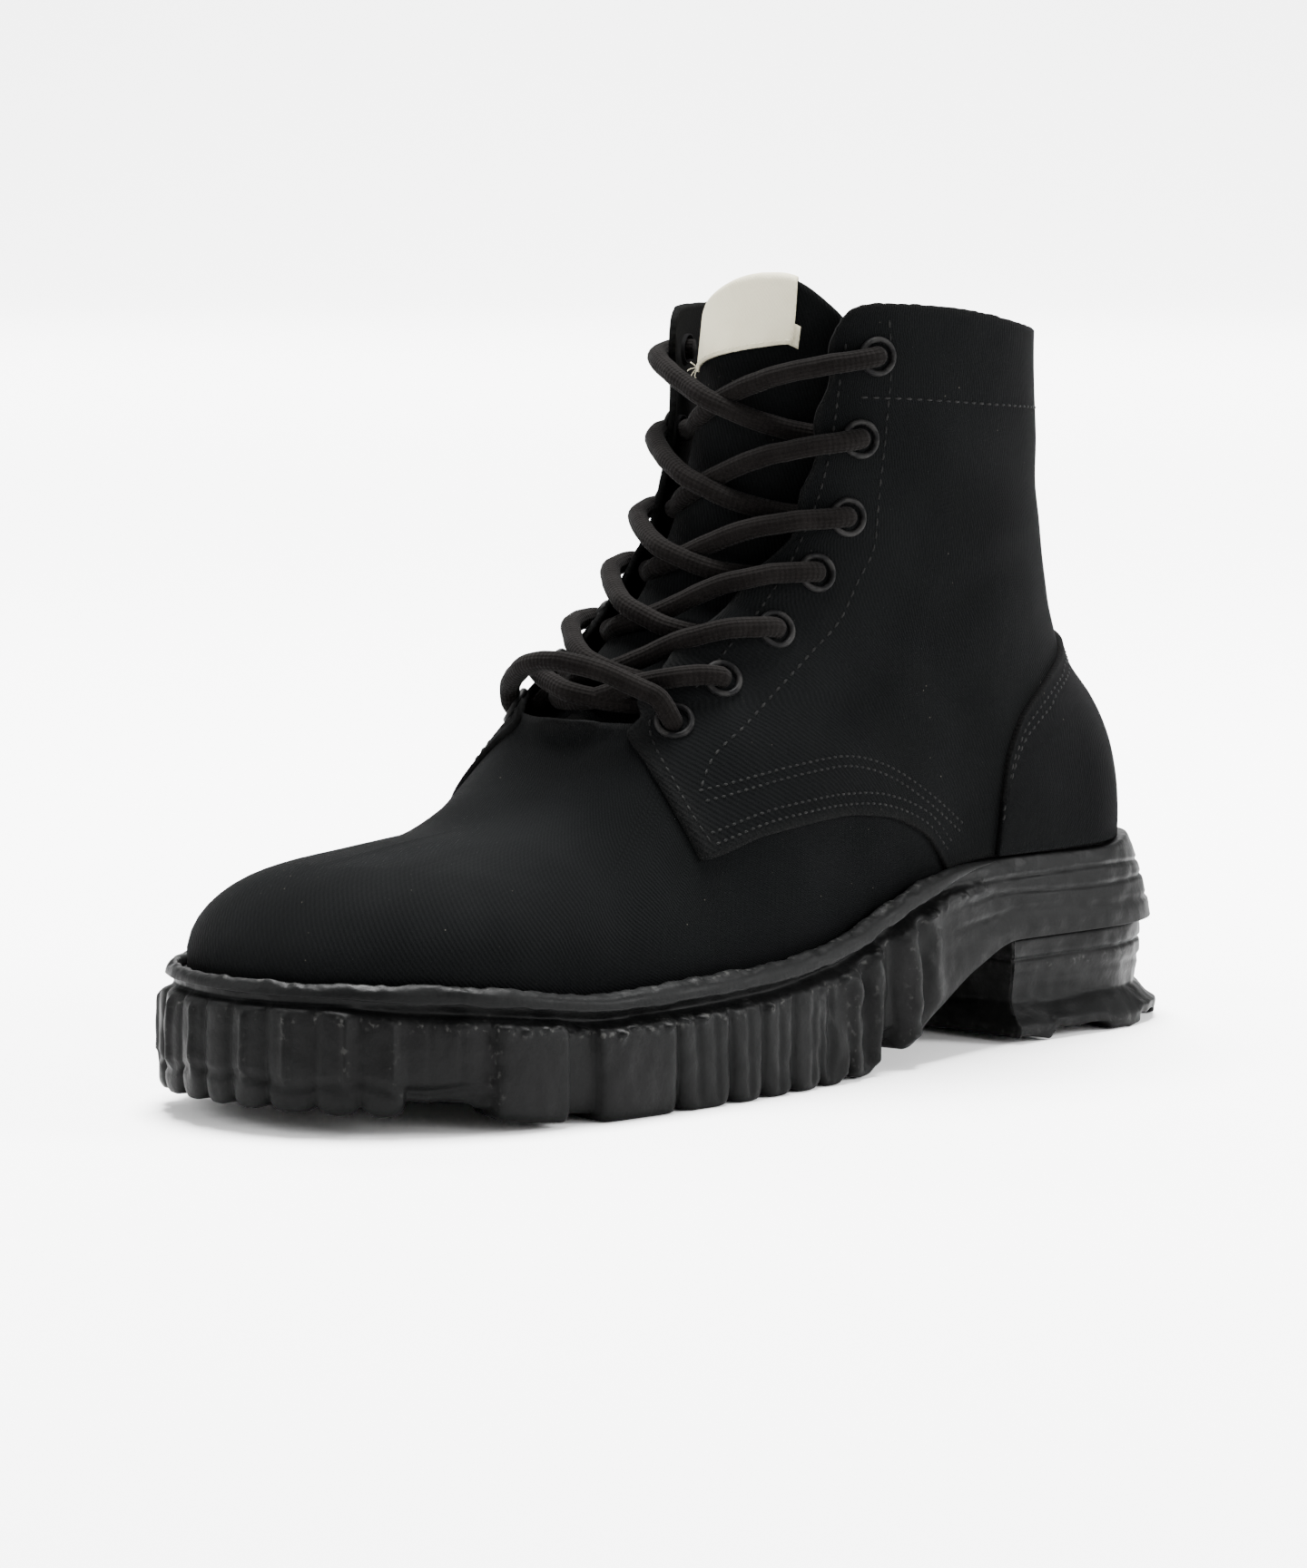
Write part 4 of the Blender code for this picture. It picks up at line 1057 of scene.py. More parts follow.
@dataclass
class Upper:
    """Vamp, quarters, counter and back strip."""

    last: Last
    step: float = 1.2
    wall: float = 1.6
    seat_gap: float = 0.35
    under: float = 7.0
    spacing: float = 1.35
    vamp_rows: int = 64
    quarter_rows: int = 110
    quarter_columns: int = 150
    facing_wave: float = 0.8
    inner_set_back: float = 2.5
    outer_set_back: float = -5.5
    outer_corner: tuple[float, float] = (23.0, 173.5)
    inner_corner: tuple[float, float] = (22.0, 172.2)
    facing_stops: tuple[float, ...] = (89, 94, 101, 109, 117, 125, 134, 143, 152, 161, 168)
    inner_drop: float = 2.0
    drawn_in: float = 2.6
    overlay_lift: float = 2.7
    overlay_wall: float = 1.4
    counter_base: float = 45.4
    counter_top: float = 95.0
    counter_turn: float = 116.0
    counter_columns: int = 170
    counter_rows: int = 48
    strip_half: float = 7.0
    strip_top: float = 166.0
    angles: Array = field(init=False)

    def __post_init__(self) -> None:
        """Lays out the columns evenly round the last and finds where each meets sole, seam and topline."""
        turn = np.linspace(0, math.pi, 721)
        down = unit(spot(np.sin(turn), -np.cos(turn), -0.2))
        walked = run_lengths(self.last.cast(np.array(self.last.centre), down), 0)
        half = np.interp(np.linspace(0, walked[-1], round(walked[-1] / self.spacing) + 1), walked, turn)
        self.angles = np.concatenate([half, FULL_TURN - half[-2:0:-1]])
        self.curve = self.last.curves(self.angles)
        self.lengths = run_lengths(self.curve, 1)
        y, z = self.curve[..., 1], self.curve[..., 2]
        self.low = first_rise(z - SOLE("top", y) - self.seat_gap, self.lengths)
        throat = np.minimum(z - FACING.key[0], FACING("y", z) - y)
        self.high = first_rise(np.maximum(throat, z - COLLAR("z", y)), self.lengths)
        set_back = y - self.under
        cover = np.where(set_back < QUARTER.key[0], -1.0, z - QUARTER("z", set_back))
        self.edge = np.clip(first_rise(cover, self.lengths), self.low, self.high)

    def relief(self, points: Array) -> Array:
        """Works out the cloth's broad unevenness and its listed creases.

        Args:
            points: Places on the last.

        Returns:
            How far the cloth stands off the last there.
        """
        x, y, z = np.moveaxis(points, -1, 0)
        out = 0.35 * wander(points, 34.0, 3.0) + 0.12 * wander(points, 12.0, 8.0)
        for crease in CREASES:
            slope = math.radians(crease["slope"])
            dy, dz = y - crease["y"], z - crease["z"]
            along = (dy * math.cos(slope) + dz * math.sin(slope)) / crease["run"]
            across = (dz * math.cos(slope) - dy * math.sin(slope)) / crease["width"]
            trough = (1 - 1.2 * across**2) * np.exp(-(across**2) - along**4)
            out = out - crease["depth"] * trough * smooth_step(-6, 6, x * crease["side"])
        settled = smooth_step(0, 12, z - SOLE("top", y))
        drawn = smooth_step(-4, -14, x) * smooth_step(84, 98, z) * smooth_step(172, 150, z)
        drawn = drawn * smooth_step(34, 10, y)
        return out * settled - self.drawn_in * drawn

    def face(self, points: Array, lift: Any) -> Array:
        """Returns cloth that lies a lift off the last's surface."""
        lift = np.broadcast_to(lift, points.shape[:-1])
        return points + self.last.normals(points) * (lift + self.relief(points))[..., None]

    def climb(self, columns: Array, start: Array, end: Array, rows: int) -> Array:
        """Returns a grid on the last between two lines.

        Args:
            columns: Which columns to take.
            start: Length along each column where the grid starts.
            end: Length where it ends.
            rows: How many rows.

        Returns:
            Rows of columns of places.
        """
        grid = []
        for column, low, high in zip(columns, start, end):
            at = low + (high - low) * np.linspace(0, 1, rows)
            grid.append(along_path(self.curve[column], self.lengths[column], at))
        return np.stack(grid, axis=1)

    def build_vamp(self) -> None:
        """Builds the vamp, which runs a little way under the quarters."""
        level = first_rise(self.curve[..., 2] - FACING.key[0], self.lengths)
        top = np.minimum(level, np.where(self.edge < self.high, self.edge + self.under, np.inf))
        top = np.where(np.isfinite(top), top, self.high)
        shown = np.flatnonzero(self.edge > self.low + 1.0)
        split = np.flatnonzero(np.diff(shown) > 1)[0] + 1
        columns = np.concatenate([shown[split:], shown[:split]])
        grid = self.climb(columns, self.low[columns] - 0.5, top[columns], self.vamp_rows)
        covered = (self.edge < self.high)[columns]
        row = np.linspace(0, 1, self.vamp_rows)[:, None]
        raw = smooth_step(0.97, 1.0, row) * ~covered
        middle = int(np.argmin(np.abs((self.angles[columns] + math.pi) % FULL_TURN - math.pi)))
        add_sheet("vamp", self.face(grid, 0.0), raw, self.wall, (Canvas(), Lining()), middle=middle)

    def front_edge(self, side: int, rows: int) -> Array:
        """Returns a quarter's front edge, from its lower corner to the collar's corner.

        Args:
            side: Sign of the side's X.
            rows: How many places along it.

        Returns:
            One plan angle and height for each place.
        """
        facing = [(float(FACING("y", z)), z) for z in self.facing_stops]
        corner = self.outer_corner if side == Side.OUTER else self.inner_corner
        line = even_path(np.array([(0.0, y, z) for y, z in (*QUARTER_FRONT, *facing, corner)]), 0.6)
        share = run_lengths(line, 0)
        share = share / share[-1]
        line = along_path(line, share, np.linspace(0, 1, rows))
        y, z = line[:, 1], line[:, 2]
        on_facing = smooth_step(88, 96, z) * smooth_step(170, 160, z)
        wave = np.sin(z / 17.5 * FULL_TURN + 1.0) + 0.4 * np.sin(z / 6.1)
        y = y + self.facing_wave * wave * on_facing + 0.2 * wander(line, 1.9, 5.0)
        shift = self.inner_set_back if side == Side.INNER else self.outer_set_back
        y = y + shift * smooth_step(83, 90, z) * smooth_step(128, 100, z)
        points = self.last.side(side, y, z)
        turn = np.arctan2(points[:, 0] * side, self.last.centre[1] - points[:, 1])
        return np.stack([turn, z], axis=-1)

    def lower_edge(self, y: Array) -> Array:
        """Returns the height of a quarter's lower edge, by place along the boot."""
        front = QUARTER_FRONT[0][0]
        return np.maximum(QUARTER("z", np.maximum(y, front)), SOLE("top", y) + self.seat_gap)

    def upper_edge(self, side: int, y: Array) -> Array:
        """Returns the height of a quarter's upper edge, by place along the boot."""
        drop = self.inner_drop if side == Side.INNER else 0.0
        return COLLAR("z", y) - drop * smooth_step(60, 24, y)

    def level_edge(self, side: int, turn: Array, height: Callable[[Array], Array]) -> Array:
        """Returns heights round the shaft of an edge whose height goes by its place along the boot.

        Args:
            side: Sign of the side's X.
            turn: Plan angles.
            height: Gives a height from a place along the boot.

        Returns:
            One height for each plan angle.
        """
        z = np.full_like(turn, 100.0)
        for _ in range(8):
            z = 0.4 * z + 0.6 * height(self.last.around(side, turn, z)[:, 1])
        return z

    def quarter_grid(self, side: int, columns: int) -> Array:
        """Returns the last's surface under one quarter, spread evenly between its four edges.

        Args:
            side: Sign of the side's X.
            columns: How many columns from the front edge to the back.

        Returns:
            Rows of columns of places.
        """
        front = self.front_edge(side, self.quarter_rows)
        u = np.linspace(0, 1, columns)
        v = np.linspace(0, 1, self.quarter_rows)
        low_turn = front[0, 0] + (math.pi - front[0, 0]) * u
        high_turn = front[-1, 0] + (math.pi - front[-1, 0]) * u
        low = np.stack([low_turn, self.level_edge(side, low_turn, self.lower_edge)], axis=-1)
        topline = partial(self.upper_edge, side)
        high = np.stack([high_turn, self.level_edge(side, high_turn, topline)], axis=-1)
        low[:, 1] += (front[0, 1] - low[0, 1]) * np.clip(1 - 14 * u, 0, 1)
        high[:, 1] += (front[-1, 1] - high[0, 1]) * np.clip(1 - 7 * u, 0, 1) ** 2
        back = np.stack([np.full_like(v, math.pi), low[-1, 1] + (high[-1, 1] - low[-1, 1]) * v], axis=-1)
        u, v = u[None, :, None], v[:, None, None]
        patch = (1 - u) * front[:, None] + u * back[:, None] + (1 - v) * low[None] + v * high[None]
        corners = (1 - u) * ((1 - v) * front[0] + v * front[-1]) + u * ((1 - v) * back[0] + v * back[-1])
        patch = patch - corners
        return self.last.around(side, patch[..., 0], patch[..., 1])

    def build_quarters(self) -> None:
        """Builds both quarters and the shaft as one sheet round the back."""
        count = self.quarter_columns
        outer, inner = (self.quarter_grid(side, count) for side in Side)
        grid = np.concatenate([outer, inner[:, -2::-1]], axis=1)
        row = np.linspace(0, 1, self.quarter_rows)[:, None]
        column = np.linspace(0, 1, grid.shape[1])[None]
        ends = np.maximum(smooth_step(0.012, 0.0, column), smooth_step(0.988, 1.0, column))
        raw = np.maximum(np.maximum(smooth_step(0.985, 1.0, row), smooth_step(0.02, 0.0, row)), ends)
        points = self.face(grid, self.step)
        points[-1, :, 2] += 0.25 * wander(points[-1], 1.7, 5.0)
        add_sheet("quarters", points, raw, self.wall, (Canvas(), Lining()), ["upper"], count - 1)

    def counter_grid(self) -> Array:
        """Returns the last's surface under the counter."""
        levels = np.linspace(self.counter_base, self.counter_top, 200)
        turns = np.radians(np.linspace(-self.counter_turn, self.counter_turn, self.counter_columns))
        every = self.last.heel(turns[:, None], levels[None])
        beyond = COUNTER("y", levels)[None] - every[..., 1]
        tops = np.minimum(first_rise(beyond, np.broadcast_to(levels, beyond.shape)), self.counter_top)
        kept = tops > self.counter_base + 0.8
        share = np.linspace(0, 1, self.counter_rows)[:, None]
        heights = self.counter_base + (tops[kept] - self.counter_base) * share
        return self.last.heel(np.broadcast_to(turns[kept], heights.shape), heights)

    def build_counter(self) -> None:
        """Builds the heel counter with its raised raw edge."""
        grid = self.counter_grid()
        row = np.linspace(0, 1, grid.shape[0])[:, None]
        raw = smooth_step(0.96, 1.0, row) * np.ones(grid.shape[1])
        face = self.face(grid, self.overlay_lift)
        add_sheet("heel_counter", face, raw, self.overlay_wall, (Canvas(),), ["counter"], grid.shape[1] // 2)

    def build_back_strip(self) -> None:
        """Builds the strip over the rear seam."""
        z = np.linspace(self.counter_top - 3.0, self.strip_top, 90)[:, None]
        x = np.linspace(-self.strip_half, self.strip_half, 16)[None]
        grid = self.last.behind(x, z)
        raw = smooth_step(0.8, 1.0, np.abs(x) / self.strip_half) * np.ones(z.shape)
        lift = self.overlay_lift - 0.4 + 0.8 * smooth_step(104, 96, z)
        face = self.face(grid, lift)
        add_sheet("back_strip", face, raw, self.overlay_wall - 0.2, (Canvas(),), ["backstay"])

    def build(self) -> None:
        """Builds every piece of the upper."""
        self.build_vamp()
        self.build_quarters()
        self.build_counter()
        self.build_back_strip()


# Seams of one side in the side view: rows of stitches, space between rows, length of a stitch, stops
SEAMS = named(
    "rows space pitch stops",
    # Eyestay
    (1, 0.0, 3.1, (
        (32.8, 173.5), (33.2, 161.9), (31.6, 146.8), (29.5, 134.5), (26.9, 121.3), (22.0, 113.6),
        (14.2, 103.6), (2.6, 95.5), (-6.3, 89.7), (-17.3, 82.6), (-28.3, 76.0), (-34.9, 68.8),
    )),
    # Edge of the facing
    (1, 0.0, 2.7, tuple(
        (float(FACING("y", z)) + 2.9, z) for z in (90, 98, 106, 114, 122, 131, 140, 150, 160, 168)
    )),
    # Front edge of the quarter
    (1, 0.0, 2.7, (
        (-34.5, 84.0), (-37.6, 77.0), (-38.9, 70.0), (-39.2, 63.0), (-37.5, 57.2),
    )),
    # Lower edge of the quarter
    (2, 2.4, 2.2, (
        (-36.8, 57.0), (-21.0, 60.6), (-6.0, 62.2), (7.0, 62.6), (23.0, 61.2), (38.5, 56.0), (48.5, 48.2),
    )),
    # Band above that edge
    (2, 2.2, 2.2, (
        (-35.5, 66.2), (-21.0, 68.8), (-6.0, 70.6), (10.0, 71.1), (23.0, 68.4), (36.0, 62.6), (54.0, 52.0),
    )),
    # Collar
    (1, 0.0, 3.0, (
        (25.5, 155.2), (40.0, 154.4), (60.0, 152.8), (80.0, 151.2), (94.0, 150.0), (101.6, 149.3),
    )),
)


@dataclass
class Stitching:
    """Every row of sewing thread on the upper."""

    upper: Upper
    half_thick: float = 0.38
    sunk: float = 0.12
    share: float = 0.74
    counter_insets: tuple[float, float] = (3.0, 5.2)
    counter_pitch: float = 2.5
    strip_inset: float = 1.8
    strip_pitch: float = 2.7

    def stitch_row(self, bm: BMesh, path: Array, pitch: float) -> None:
        """Sews one row of stitches along a path.

        Args:
            bm: Mesh that takes the stitches.
            path: Points that lie on the cloth's face.
            pitch: Length of a stitch and the hole after it.
        """
        stops = even_path(path, pitch)
        for start, end in zip(stops, stops[1:]):
            middle = (start + end) / 2
            along = unit(end - start)
            out = self.upper.last.normals(middle[None])[0]
            across = unit(np.cross(out, along))
            out = np.cross(along, across)
            length = np.linalg.norm(end - start) * self.share / 2
            turn = Matrix(np.stack([along, across, out], axis=-1).tolist()).to_4x4()
            size = Matrix.Diagonal((length * MM, self.half_thick * MM, self.half_thick * MM, 1.0))
            centre = Vector(middle - out * self.sunk) * MM
            place = Matrix.Translation(centre) @ turn @ size
            bmesh.ops.create_uvsphere(bm, u_segments=6, v_segments=4, radius=1.0, matrix=place)

    def side_path(self, side: int, stops: Sequence[Sequence[float]], shift: float) -> Array:
        """Returns a row's path on the quarter's face.

        Args:
            side: Sign of the side's X.
            stops: Places of the side view.
            shift: How far the row is moved to the left of its direction.

        Returns:
            Points on the cloth.
        """
        flat = np.array([(0.0, y, z) for y, z in stops])
        line = even_path(flat, 1.5)
        direction = unit(np.gradient(line, axis=0))
        line[:, 1] -= direction[:, 2] * shift
        line[:, 2] += direction[:, 1] * shift
        points = self.upper.last.side(side, line[:, 1], line[:, 2])
        return self.upper.face(points, self.upper.step)

    def build(self) -> None:
        """Sews every seam."""
        bm = bmesh.new()
        for seam in SEAMS:
            for side in Side:
                for row in range(seam["rows"]):
                    path = self.side_path(side, seam["stops"], row * seam["space"])
                    self.stitch_row(bm, path, seam["pitch"])
        upper = self.upper
        grid = upper.counter_grid()
        face = upper.face(grid, upper.overlay_lift)
        for inset in self.counter_insets:
            depth = run_lengths(face, 0)
            rows = np.argmin(np.abs(depth[-1] - inset - depth), axis=0)
            usable = depth[-1] > inset + 4
            path = face[rows, np.arange(face.shape[1])][usable]
            self.stitch_row(bm, path[::3], self.counter_pitch)
        z = np.linspace(upper.counter_top + 2, upper.strip_top - 1.5, 40)
        reach = upper.strip_half - self.strip_inset
        for x in (-reach, reach):
            grid = upper.last.behind(x, z)
            self.stitch_row(bm, upper.face(grid, upper.overlay_lift - 0.3), self.strip_pitch)
        add_piece("stitching", bm, (Thread(),))


@dataclass
class Tongue:
    """The tongue and the folded tape on its top."""

    upper: Upper
    thick: float = 2.2
    rows: int = 96
    columns: int = 56
    edge_reach: float = 30.0
    tape_columns: int = 40
    tape_half: float = 20.0
    tape_reach: tuple[float, float] = (-1.12, 0.94)
    tape_gap: float = 0.5
    tape_thick: float = 0.7
    tape_drop: float = 12.5
    tape_bow: float = 3.2
    tape_sag: float = 1.6
    tape_flare: float = 0.2

    @property
    def top(self) -> float:
        """How far the tongue climbs."""
        return float(TONGUE.key[-1])

    def point(self, across: Array, climb: Array) -> tuple[Array, Array]:
        """Finds places on the tongue's outer face.

        Args:
            across: Places across it, from -1 to 1.
            climb: How far up it they lie.

        Returns:
            The places and their outward directions.
        """
        last = self.upper.last
        across, climb = np.broadcast_arrays(across, climb)
        share = np.clip((climb - self.top) / self.edge_reach + 1, 0, 1)
        lowered = climb - TONGUE_EDGE("drop", across) * share
        point = last.front(across * TONGUE("half", climb), lowered)
        outward = last.normals(point)
        sag = 0.5 * wander(point, 22.0, 6.0) * smooth_step(20, 40, climb)
        sag = sag * smooth_step(self.top, self.top - 25, climb)
        return point - outward * (TONGUE("depth", climb) - sag)[..., None], outward

    def build_tongue(self) -> None:
        """Builds the tongue's sheet."""
        climb = np.linspace(TONGUE.key[0], self.top, self.rows)[:, None]
        across = np.linspace(-1, 1, self.columns)[None]
        points, _ = self.point(across, climb)
        raw = smooth_step(0.985, 1.0, climb / self.top) * np.ones(across.shape)
        raw = np.maximum(raw, smooth_step(0.96, 1.0, np.abs(across)) * np.ones(climb.shape))
        finishes = (Canvas(), Lining())
        add_sheet("tongue_sheet", points, raw, self.thick, finishes, ["tongue"], self.columns // 2)

    def fold(self, half_shares: Array, drop: Array, gap: float) -> Array:
        """Returns a tape folded over the tongue's top.

        Args:
            half_shares: Places across the tongue.
            drop: How far the front flap hangs at each place.
            gap: Clearance over the tongue's faces.

        Returns:
            Rows of columns of places.
        """
        out = gap + self.tape_thick
        back = -(self.thick + out)
        hang = np.broadcast_to(drop, half_shares.shape)
        places = [(1.0 + (hang - 1.0) * share, out, 0.0) for share in np.linspace(1, 0, 16)]
        turn = np.linspace(0, math.pi, 9)
        middle, radius = (out + back) / 2, (out - back) / 2
        places += [(0.6, middle + radius * math.cos(t), radius * 0.75 * math.sin(t)) for t in turn]
        places += [(below, back, 0.0) for below in np.linspace(2.0, 10.0, 8)]
        rows = []
        for below, forward, up in places:
            flare = 1 + self.tape_flare * (half_shares < 0) * np.clip(1 - below / hang, 0, 1)
            point, outward = self.point(half_shares * flare, self.top - below)
            lower, _ = self.point(half_shares * flare, self.top - below - 1.0)
            rows.append(point + outward * forward + unit(point - lower) * up)
        return np.stack(rows)

    def build_tape(self) -> None:
        """Builds the cream tape with its hem stitch, its turned-in corner and a few loose threads."""
        half = float(TONGUE("half", self.top))
        shares = np.linspace(*self.tape_reach, self.tape_columns) * self.tape_half / half
        place = np.linspace(-1, 1, self.tape_columns)
        drop = self.tape_drop + self.tape_bow * (1 - place**2) + self.tape_sag * (1 - place) / 2
        points = self.fold(shares, drop, self.tape_gap)
        row = np.linspace(0, 1, points.shape[0])[:, None]
        raw = np.maximum(smooth_step(0.06, 0.0, row), smooth_step(0.94, 1.0, np.abs(place))[None])
        add_sheet("cream_tape", points, raw, self.tape_thick, (CreamTape(),), ["tongue_tape"])
        self.build_tape_corner()
        self.build_tape_threads(points)

    def build_tape_corner(self) -> None:
        """Builds the turned-in end that peeps out at the tape's outer lower corner."""
        half = float(TONGUE("half", self.top))
        across = np.linspace(self.tape_half - 7.0, self.tape_half + 0.2, 8)[None] / half
        climb = self.top - np.linspace(self.tape_drop + 0.3, self.tape_drop - 4.2, 8)[:, None]
        points, outward = self.point(across, climb)
        raw = np.ones(points.shape[:2]) * 0.3
        add_sheet("tape_corner", points + outward * 0.55, raw, self.tape_thick / 2, (CreamTape(),))

    def build_tape_threads(self, points: Array) -> None:
        """Builds the hem stitch and the loose threads of the tape.

        Args:
            points: Rows of columns of places on the tape.
        """
        bm = bmesh.new()
        hem = points[1] + self.upper.last.normals(points[1]) * 0.05
        Stitching(self.upper, half_thick=0.26, sunk=0.05).stitch_row(bm, hem, 2.1)
        corner = points[1, 0]
        ends = ((-1.6, -0.4, 1.6), (-2.4, -0.6, -0.4), (-1.2, -0.8, -2.2), (0.6, -0.8, -2.0))
        parts = [bm]
        for i, end in enumerate(np.array(ends)):
            bow = np.array([0.0, -0.5, 0.6 - 0.3 * i])
            path = np.stack([corner + [0.8, 0.2, 0.6 * i], corner + 0.5 * end + bow, corner + end])
            parts.append(tube(even_path(path, 0.4), 0.13, 6))
        add_piece("tape_threads", joined(parts), (CreamTape(),))

    def build(self) -> None:
        """Builds tongue and tape."""
        self.build_tongue()
        self.build_tape()


def tube(path: Array, radius: Any, sides: int) -> BMesh:
    """Builds a closed round cord.

    Args:
        path: Points that it follows.
        radius: Its radius, one number or one for each point.
        sides: Faces round it.

    Returns:
        The cord.
    """
    along = unit(np.gradient(path, axis=0))
    first = np.cross(along[0], [0.0, 0.0, 1.0])
    frames = []
    for direction in along:
        first = unit(first - direction * np.dot(first, direction))
        frames.append((first, np.cross(direction, first)))
    radius = np.broadcast_to(radius, len(path))
    turn = np.arange(sides) * FULL_TURN / sides
    rings = [np.broadcast_to(path[0], (sides, 3))]
    for point, (a, b), r in zip(path, frames, radius):
        rings.append(point + r * (np.cos(turn)[:, None] * a + np.sin(turn)[:, None] * b))
    rings.append(np.broadcast_to(path[-1], (sides, 3)))
    walked = run_lengths(path, 0)
    walked = np.concatenate([[walked[0]], walked, [walked[-1]]])
    return bend_grid(np.stack(rings), wrap_columns=True, along=walked)


@dataclass
class Eyelets:
    """Fourteen rolled eyelets."""

    upper: Upper
    inner: float = 3.2
    outer: float = 4.7
    barrel: float = 3.65
    rise: float = 1.0
    below: float = 2.6
    sides: int = 36

    def seat(self, side: int, row: int) -> tuple[Array, Array]:
        """Finds an eyelet's seat on the quarter's face.

        Args:
            side: Sign of the side's X.
            row: The eyelet's row.

        Returns:
            The eyelet's centre and its outward direction.
        """
        point = self.upper.last.side(side, **EYELETS[row])
        outward = self.upper.last.normals(point[None])[0]
        return self.upper.face(point[None], self.upper.step)[0], outward

    def build_ring(self, centre: Array, outward: Array) -> BMesh:
        """Turns one eyelet.

        Args:
            centre: Middle of its hole on the cloth's face.
            outward: Direction out of the cloth.

        Returns:
            The eyelet.
        """
        roll = np.linspace(-0.15 * math.pi, 1.0 * math.pi, 9)
        middle, half = (self.inner + self.outer) / 2, (self.outer - self.inner) / 2
        # Third number: 1 where the painted rim highlight may fall
        profile = [(middle + half * math.cos(t), self.rise * math.sin(t) + 0.15, 1.0) for t in roll]
        profile += [(self.inner, -self.below, 0.0), (self.barrel, -self.below, 0.0), (self.barrel, 0.0, 0.0)]
        bm = bmesh.new()
        rim = bm.verts.layers.float.new("rim")
        verts = [bm.verts.new((radius * MM, 0.0, height * MM)) for radius, height, _ in profile]
        # Painted rim highlight, strongest on the roll's top
        for vertex, (_, height, worn) in zip(verts, profile):
            vertex[rim] = worn * float(smooth_step(0.2, 1.0, height))
        edges = [bm.edges.new(pair) for pair in zip(verts, verts[1:] + verts[:1])]
        around = {"cent": (0, 0, 0), "axis": (0, 0, 1), "angle": FULL_TURN, "steps": self.sides}
        bmesh.ops.spin(bm, geom=verts + edges, use_merge=True, **around)
        bmesh.ops.remove_doubles(bm, verts=bm.verts, dist=1e-6)
        bmesh.ops.recalc_face_normals(bm, faces=bm.faces)
        turn = Vector((0, 0, 1)).rotation_difference(Vector(outward)).to_matrix().to_4x4()
        bmesh.ops.transform(bm, matrix=Matrix.Translation(Vector(centre) * MM) @ turn, verts=bm.verts)
        return bm

    def build(self) -> None:
        """Builds all the eyelets as one piece."""
        rings = []
        nodes = []
        for side, name in ((Side.OUTER, "left"), (Side.INNER, "right")):
            for row in range(len(EYELETS)):
                rings.append(self.build_ring(*self.seat(side, row)))
                nodes.append(f"eyelet_{name}_{row + 1}")
        add_piece("eyelets", joined(rings), (Enamel(),), nodes)


